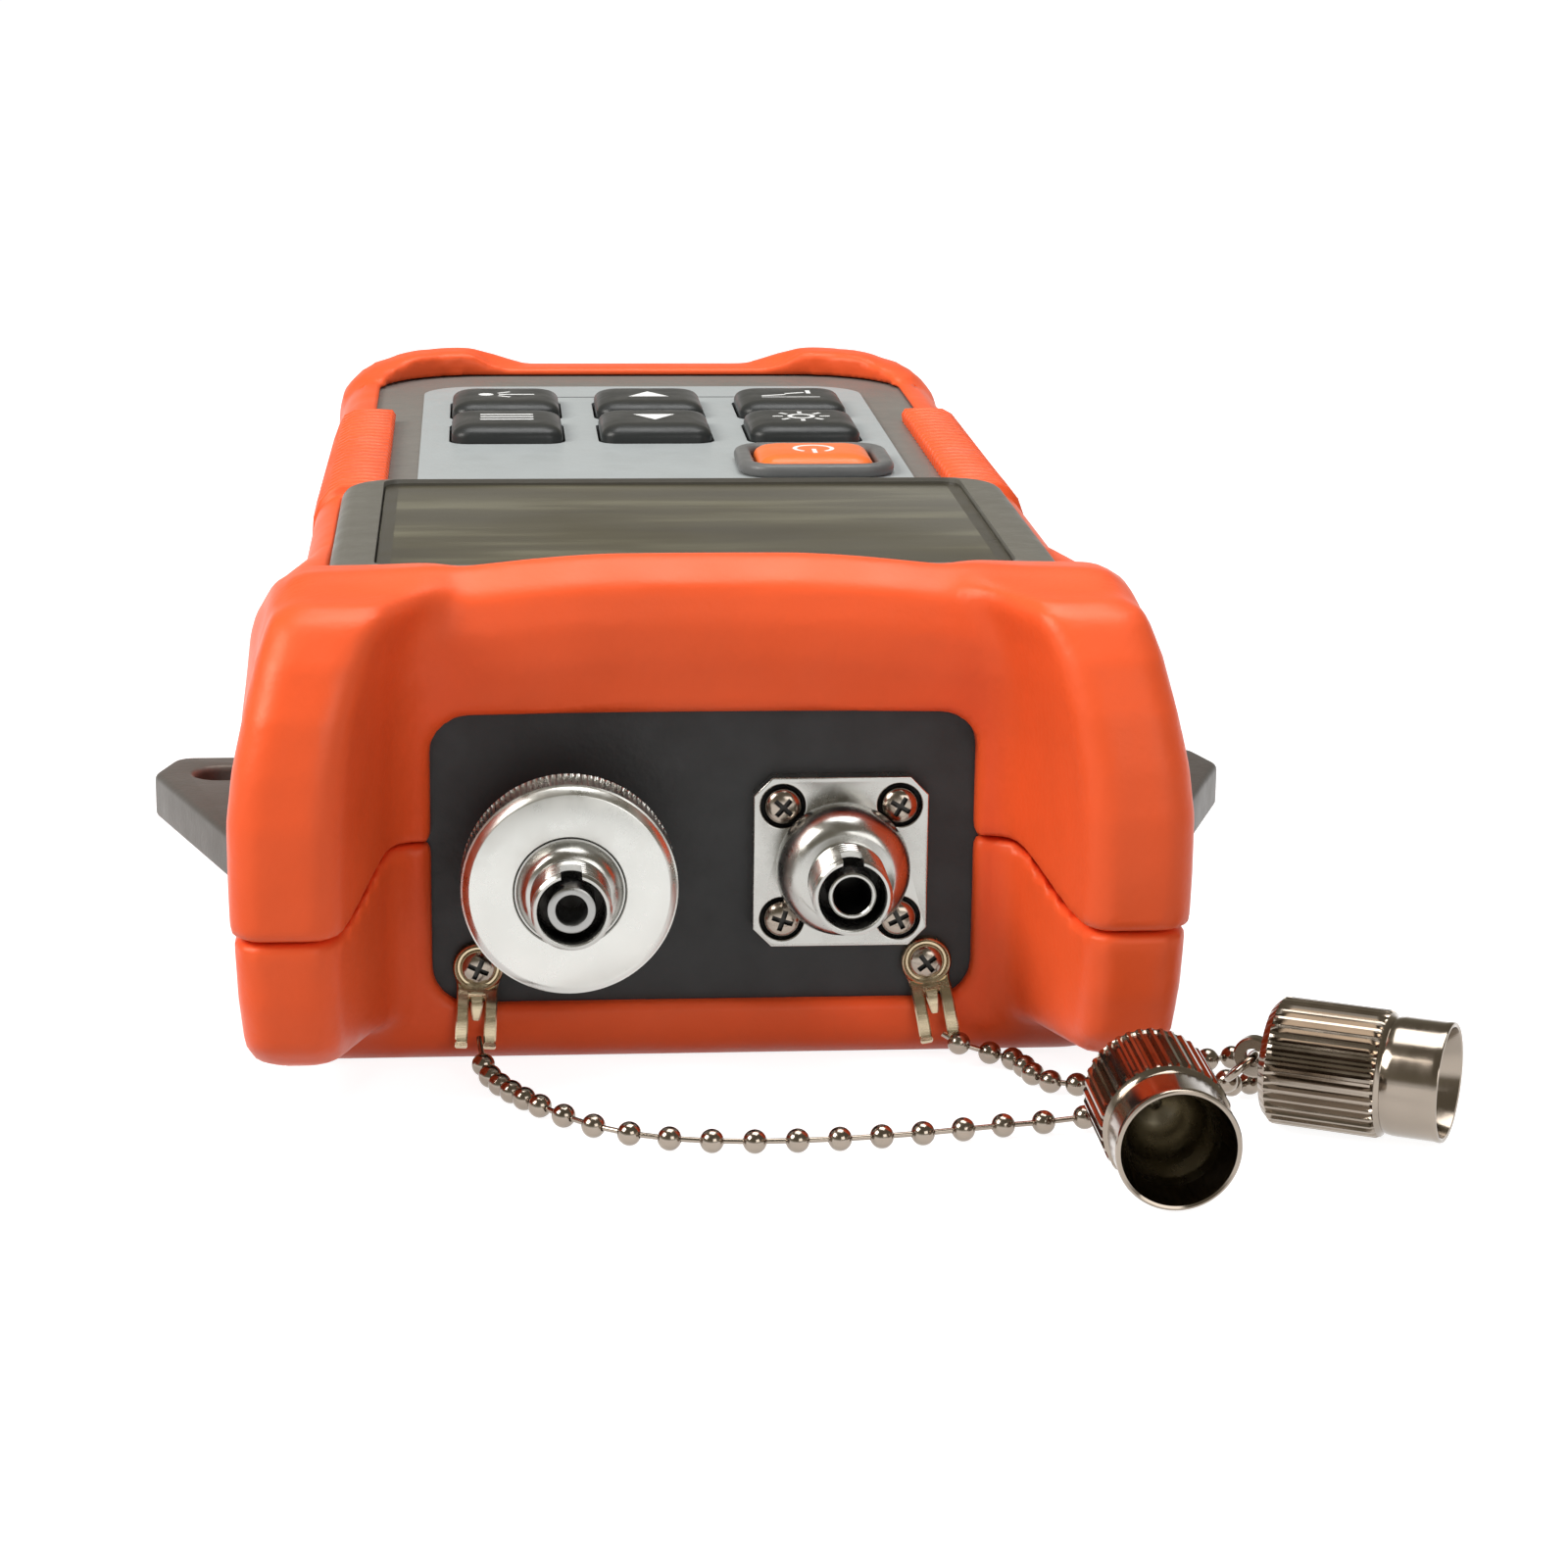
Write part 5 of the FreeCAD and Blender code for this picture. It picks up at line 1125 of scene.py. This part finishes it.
def chain_tab(name, node, side, swing):
    """Eye under the screw, a short tongue, and two fingers folded forward round the chain's end."""
    face = PANEL_FACE - 0.3
    look = "tab"
    rim = [(-0.3, 0.95), (-0.3, 2.12), (-0.62, 2.28), (-0.72, 2.42), (-0.6, 2.58), (-0.3, 2.65), (0.28, 2.65)]
    eye = lathe("eye", rim + [(0.28, 0.95)], look, 48, closed=True)
    move(eye, shift(0, face, TAB_Z))
    # each path is (how far in front of the panel, z)
    neck = [(0, 9.2), (0.05, 8.7), (0.35, 8.2), (0.8, 7.8), (1.2, 7.5)]
    finger = [(0.8, 7.9), (1.6, 7.2), (2.2, 6.3), (2.55, 5.2), (2.68, 4.2), (2.75, 3.5), (2.95, 3.05),
              (3.35, 2.95), (3.6, 3.25)]
    tongue = [(0.8, 7.9), (1.2, 7.3), (1.4, 6.6), (1.45, 5.9), (1.4, 5.2)]
    bent = [(neck, [(-half, half) for half in (2.35, 2.15, 2.1, 2.1, 2.1)])]
    bent += [(finger, [span] * len(finger)) for span in ((-2.1, -0.82), (0.82, 2.1))]
    bent += [(tongue, [(-half, half) for half in (0.8, 0.7, 0.62, 0.5, 0.36)])]
    strips = [strip([(face - out, z) for out, z in path], spans, look) for path, spans in bent]
    tab = join(name, [eye] + strips)
    sharpen(tab, 40)
    tilt = Matrix.Rotation(math.radians(swing), 4, "Y")
    move(tab, shift(side * TAB_X, 0, TAB_Z) @ tilt @ shift(0, 0, -TAB_Z))
    settle(tab, (node,))


coupling_nut()
laser_insert()
test_port()
screws()
chain_tab("chain_tab_left_look", "chain_tab_left", -1, 3)
chain_tab("chain_tab_right_look", "chain_tab_right", 1, -10)


# --- keys ---
KEY_TOP = 50.0
KEY_HALF_X = 7.1
MARK_TOP = KEY_TOP - 0.01
SMALL_SIGN = 0.5
BEZEL_LOW, BEZEL_TOP = 47.0, 50.0
GLASS_LOW, GLASS_TOP = 48.7, 49.75
LUG_LOW, LUG_TOP = 21.0, 25.8
OVERLAY_TOP = node_box("keypad_overlay")[1][2]


def pillow_key(name, node, half_y, look):
    """Key with soft edges and a flat middle."""
    low, high = node_box(node)
    x, y = (low[0] + high[0]) / 2, (low[1] + high[1]) / 2
    profile = [(-4.5, 0), (-1.6, 0.02), (-1.3, 0.07), (-1.02, 0.18), (-0.76, 0.38), (-0.53, 0.68)]
    profile += [(-0.34, 1.05), (-0.19, 1.55), (-0.08, 2.1), (-0.02, 2.7), (0, 3.4), (0, 6.0)]
    rings = []
    for z, inset in profile:
        ring = rounded_ring(KEY_HALF_X - inset, half_y - inset, max(2.2 - inset * 0.5, 0.3))
        rings.append([(x + u, y + v, KEY_TOP + z) for u, v in ring])
    key = grid_mesh(name, np.array(rings), look, caps=(False, True))
    settle(key, (node,), node + "_body")
    return x, y


def flat_marks(name, shapes, x, y, z, look, body):
    """Thin printed signs lying at height z."""
    sign = plate(name, shapes, z, z + 0.02, 0.0, look)
    settle(move(sign, shift(x, y, 0)), (), body)


def bar(a, b, width):
    """Corners of a straight stroke."""
    a, b = Vector(a), Vector(b)
    side = (b - a).normalized().orthogonal() * width / 2
    return [tuple(p) for p in (a + side, b + side, b - side, a - side)]


def polar(radius, turn):
    return radius * math.cos(turn), radius * math.sin(turn)


def open_ring(radius, width, gap, start, count=36):
    """Ring stroke with a gap round the start angle."""
    turns = [start + gap / 2 + (2 * math.pi - gap) * i / count for i in range(count + 1)]
    outer = [polar(radius + width / 2, a) for a in turns]
    inner = [polar(radius - width / 2, a) for a in turns]
    return [outer + inner[::-1]]


def rays(inner, outer, count, width):
    turns = [2 * math.pi * i / count for i in range(count)]
    return [bar(polar(inner, a), polar(outer, a), width) for a in turns]


SUN = [circle(0, 0, 1.8), circle(0, 0, 1.2)] + rays(2.4, 3.7, 8, 0.55)
TRACE = [bar((-3.8, -1.6), (-0.6, -0.5), 0.6), bar((-0.6, 0.3), (2.0, 1.2), 0.6),
         bar((2.6, 0.4), (2.6, 3.0), 0.6), bar((-3.9, -2.6), (3.9, -2.6), 0.35)]
BEAM = [circle(-2.6, 0, 1.0)] + [bar((-0.9, 0), (3.8, 0), 0.6), bar((-1.0, 1.1), (0.6, 2.2), 0.5),
                                 bar((-1.0, -1.1), (0.6, -2.2), 0.5)]
LIST = [bar((-3.4, k), (3.4, k), 0.7) for k in (-1.9, 0, 1.9)]
NEAR_ARROW = [[(-2.7, 1.9), (0, -2.4), (2.7, 1.9)]]
FAR_ARROW = [[(-2.7, -1.9), (2.7, -1.9), (0, 2.4)]]
POWER = open_ring(2.3, 0.55, 1.2, -math.pi / 2) + [bar((0, -3.3), (0, -0.4), 0.55)]


def make_keys():
    signs = {"trace_key": TRACE, "down_key": FAR_ARROW, "laser_key": BEAM, "light_key": SUN,
             "up_key": NEAR_ARROW, "index_key": LIST, "power_key": POWER}
    for node, sign in signs.items():
        half_y, look = (6.5, "key_orange") if node == "power_key" else (7.8, "key_dark")
        x, y = pillow_key(node + "_cap", node, half_y, look)
        flat_marks(node + "_sign", sign, x, y, MARK_TOP, "ink", node + "_body")
    # the ring lies round the last key
    ring = plate("power_ring_look", [rounded_ring(9.5, 8.9, 4.4), rounded_ring(7.5, 6.9, 2.5)],
                 OVERLAY_TOP - 0.1, 49.4, 0.75, "ring_grey", 4)
    move(ring, shift(x, y, 0))
    settle(ring, ("power_key_ring",))


make_keys()


# --- deck ---
def display():
    """Soft-edged bezel with the window sunk in it."""
    low, high = node_box("display_frame")
    half = 38.4
    corners = [(half, low[1], 1.5), (half, high[1], 6.5), (-half, high[1], 6.5), (-half, low[1], 1.5)]
    outline = outline_arcs(corners)
    bezel = plate("display_bezel", [outline], BEZEL_LOW, BEZEL_TOP, 1.7, "bezel", 5)
    low, high = node_box("display_window")
    middle = (low[1] + high[1]) / 2
    half_y = (high[1] - low[1]) / 2
    opening = [rounded_ring(33.6, half_y + 0.1, 2.1)]
    hole = plate("hole", opening, GLASS_LOW - 0.1, BEZEL_TOP + 1, 0.0, "bezel")
    cut(bezel, move(hole, shift(0, middle, 0)))
    bevel = bezel.modifiers.new("edge", "BEVEL")
    bevel.width = 0.25 * MM
    bevel.segments = 2
    bevel.angle_limit = math.radians(60)
    apply_modifiers(bezel)
    sharpen(bezel, 40)
    settle(bezel, ("display_frame",))
    pane = [rounded_ring(33.45, half_y - 0.05, 2.0)]
    glass = plate("display_glass", pane, GLASS_LOW, GLASS_TOP, 0.12, "window_glass")
    edges = [rounded_ring(33.3, half_y - 0.2, 1.9), rounded_ring(31.9, half_y - 1.6, 1.2)]
    border = plate("display_border", edges, GLASS_TOP - 0.01, GLASS_TOP + 0.01, 0.0, "border")
    glass = join("display_glass", [glass, border])
    move(glass, shift(0, middle, 0))
    settle(glass, ("display_window",))


def overlay_print():
    """A plain printed line and port signs on the keypad overlay."""
    low, high = node_box("keypad_overlay")
    line = [bar((-25, 0), (25, 0), 0.5)]
    signs = [("overlay_line", line, 0, high[1] - 9.6)]
    for name, x, sign in (("laser_port_sign", -20.0, BEAM), ("test_port_sign", 20.0, TRACE)):
        small = [[(u * SMALL_SIGN, v * SMALL_SIGN) for u, v in shape] for shape in sign]
        signs.append((name, small, x, low[1] + 2.2))
    for name, shapes, x, y in signs:
        flat_marks(name, shapes, x, y, high[2] - 0.005, "print", BODY)


def strap_lugs():
    corners = [(31.5, -58.5, 1.0), (40.1, -58.5, 1.0), (42.3, -82.5, 1.5), (46.7, -84.5, 1.5),
               (57.6, -55.5, 3.0), (55.6, -48.5, 2.4), (31.5, -48.5, 1.0)]
    for side, node in ((1, "strap_lug_right"), (-1, "strap_lug_left")):
        outline = [(side * x, y) for x, y in outline_arcs(corners)]
        slot = [(side * 49.7 + u, -55.5 + v) for u, v in rounded_ring(3.5, 2.8, 2.75)]
        lug = plate(node + "_look", [outline, slot], LUG_LOW, LUG_TOP, 0.7, "lug", 4)
        settle(lug, (node,))


display()
overlay_print()
strap_lugs()


# --- carried-over CAD nodes ---
slots = {part["node"]: part["material_slot"] for part in frame["record"]["subparts"]}
for node, obj in NODES.items():
    obj.data.materials.clear()
    obj.data.materials.append(MATERIALS[slots[node]])


# --- stage and light ---
FLOOR_GLOW = 0.892857     # what the camera sees of the floor's own light
FLOOR_REACH = 4000
FLOOR_DROP = -0.05


def area_light(name, place, target, size, power, colour=(1, 1, 1)):
    data = bpy.data.lights.new(name, "AREA")
    data.shape = "RECTANGLE"
    data.size, data.size_y = size
    data.energy = power
    data.color = colour
    lamp = new_object(name, data)
    lamp.location = place
    lamp.rotation_euler = (Vector(target) - Vector(place)).to_track_quat("-Z", "Y").to_euler()


def seen_ray(tree):
    """1 for what the camera, gloss and glass see, 0 for diffuse light."""
    path = tree.nodes.new("ShaderNodeLightPath")
    seen = path.outputs["Is Camera Ray"]
    for extra in ("Is Glossy Ray", "Is Transmission Ray"):
        add = tree.nodes.new("ShaderNodeMath")
        add.operation = "MAXIMUM"
        tree.links.new(seen, add.inputs[0])
        tree.links.new(path.outputs[extra], add.inputs[1])
        seen = add.outputs[0]
    return seen


def make_world():
    """White backdrop up to a little above the horizon, a dim warm room over it."""
    world = bpy.data.worlds.new("studio")
    bpy.context.scene.world = world
    world.use_nodes = True
    tree = world.node_tree
    tree.nodes.clear()
    add, link = tree.nodes.new, tree.links.new
    split = add("ShaderNodeSeparateXYZ")
    link(add("ShaderNodeTexCoord").outputs["Generated"], split.inputs[0])
    height = add("ShaderNodeValToRGB")
    stops = height.color_ramp.elements
    stops[0].position, stops[0].color = 0.06, (1, 1, 1, 1)
    stops[1].position, stops[1].color = 0.17, (0.27, 0.245, 0.19, 1)
    stops.new(0.5).color = (0.2, 0.18, 0.14, 1)
    link(split.outputs["Z"], height.inputs["Fac"])
    room = add("ShaderNodeBackground")
    link(height.outputs["Color"], room.inputs["Color"])
    plain = add("ShaderNodeBackground")
    plain.inputs["Color"].default_value = (0.92, 0.96, 1.0, 1)
    plain.inputs["Strength"].default_value = 0.3
    mix = add("ShaderNodeMixShader")
    link(seen_ray(tree), mix.inputs["Fac"])
    link(plain.outputs[0], mix.inputs[1])
    link(room.outputs[0], mix.inputs[2])
    link(mix.outputs[0], add("ShaderNodeOutputWorld").inputs["Surface"])


def make_floor():
    n = Nodes("floor")
    n.set(Base_Color=(0.38, 0.38, 0.38, 1), Roughness=0.9, Specular_IOR_Level=0.1)
    n.set(Emission_Color=(1, 1, 1, 1))
    n.link(n.spread(seen_ray(n.tree), 0.0, FLOOR_GLOW, 0.0, 1.0), n.shader.inputs["Emission Strength"])
    MATERIALS["floor"] = n.material
    signs = ((-1, -1), (1, -1), (1, 1), (-1, 1))
    corners = [(x * FLOOR_REACH, y * FLOOR_REACH, FLOOR_DROP) for x, y in signs]
    floor = add_mesh("floor", corners, [(0, 1, 2, 3)], "floor", smooth=False)


make_world()
make_floor()
area_light("key", (-0.95, -0.35, 0.85), (0, -0.03, 0.02), (0.6, 0.6), 14.0, (1, 0.97, 0.93))
area_light("top", (0.1, 0.2, 1.15), (0, 0, 0.02), (0.8, 0.8), 10.0)
area_light("fill", (0.5, -1.1, 0.5), (0, -0.03, 0.02), (0.7, 0.5), 3.0)
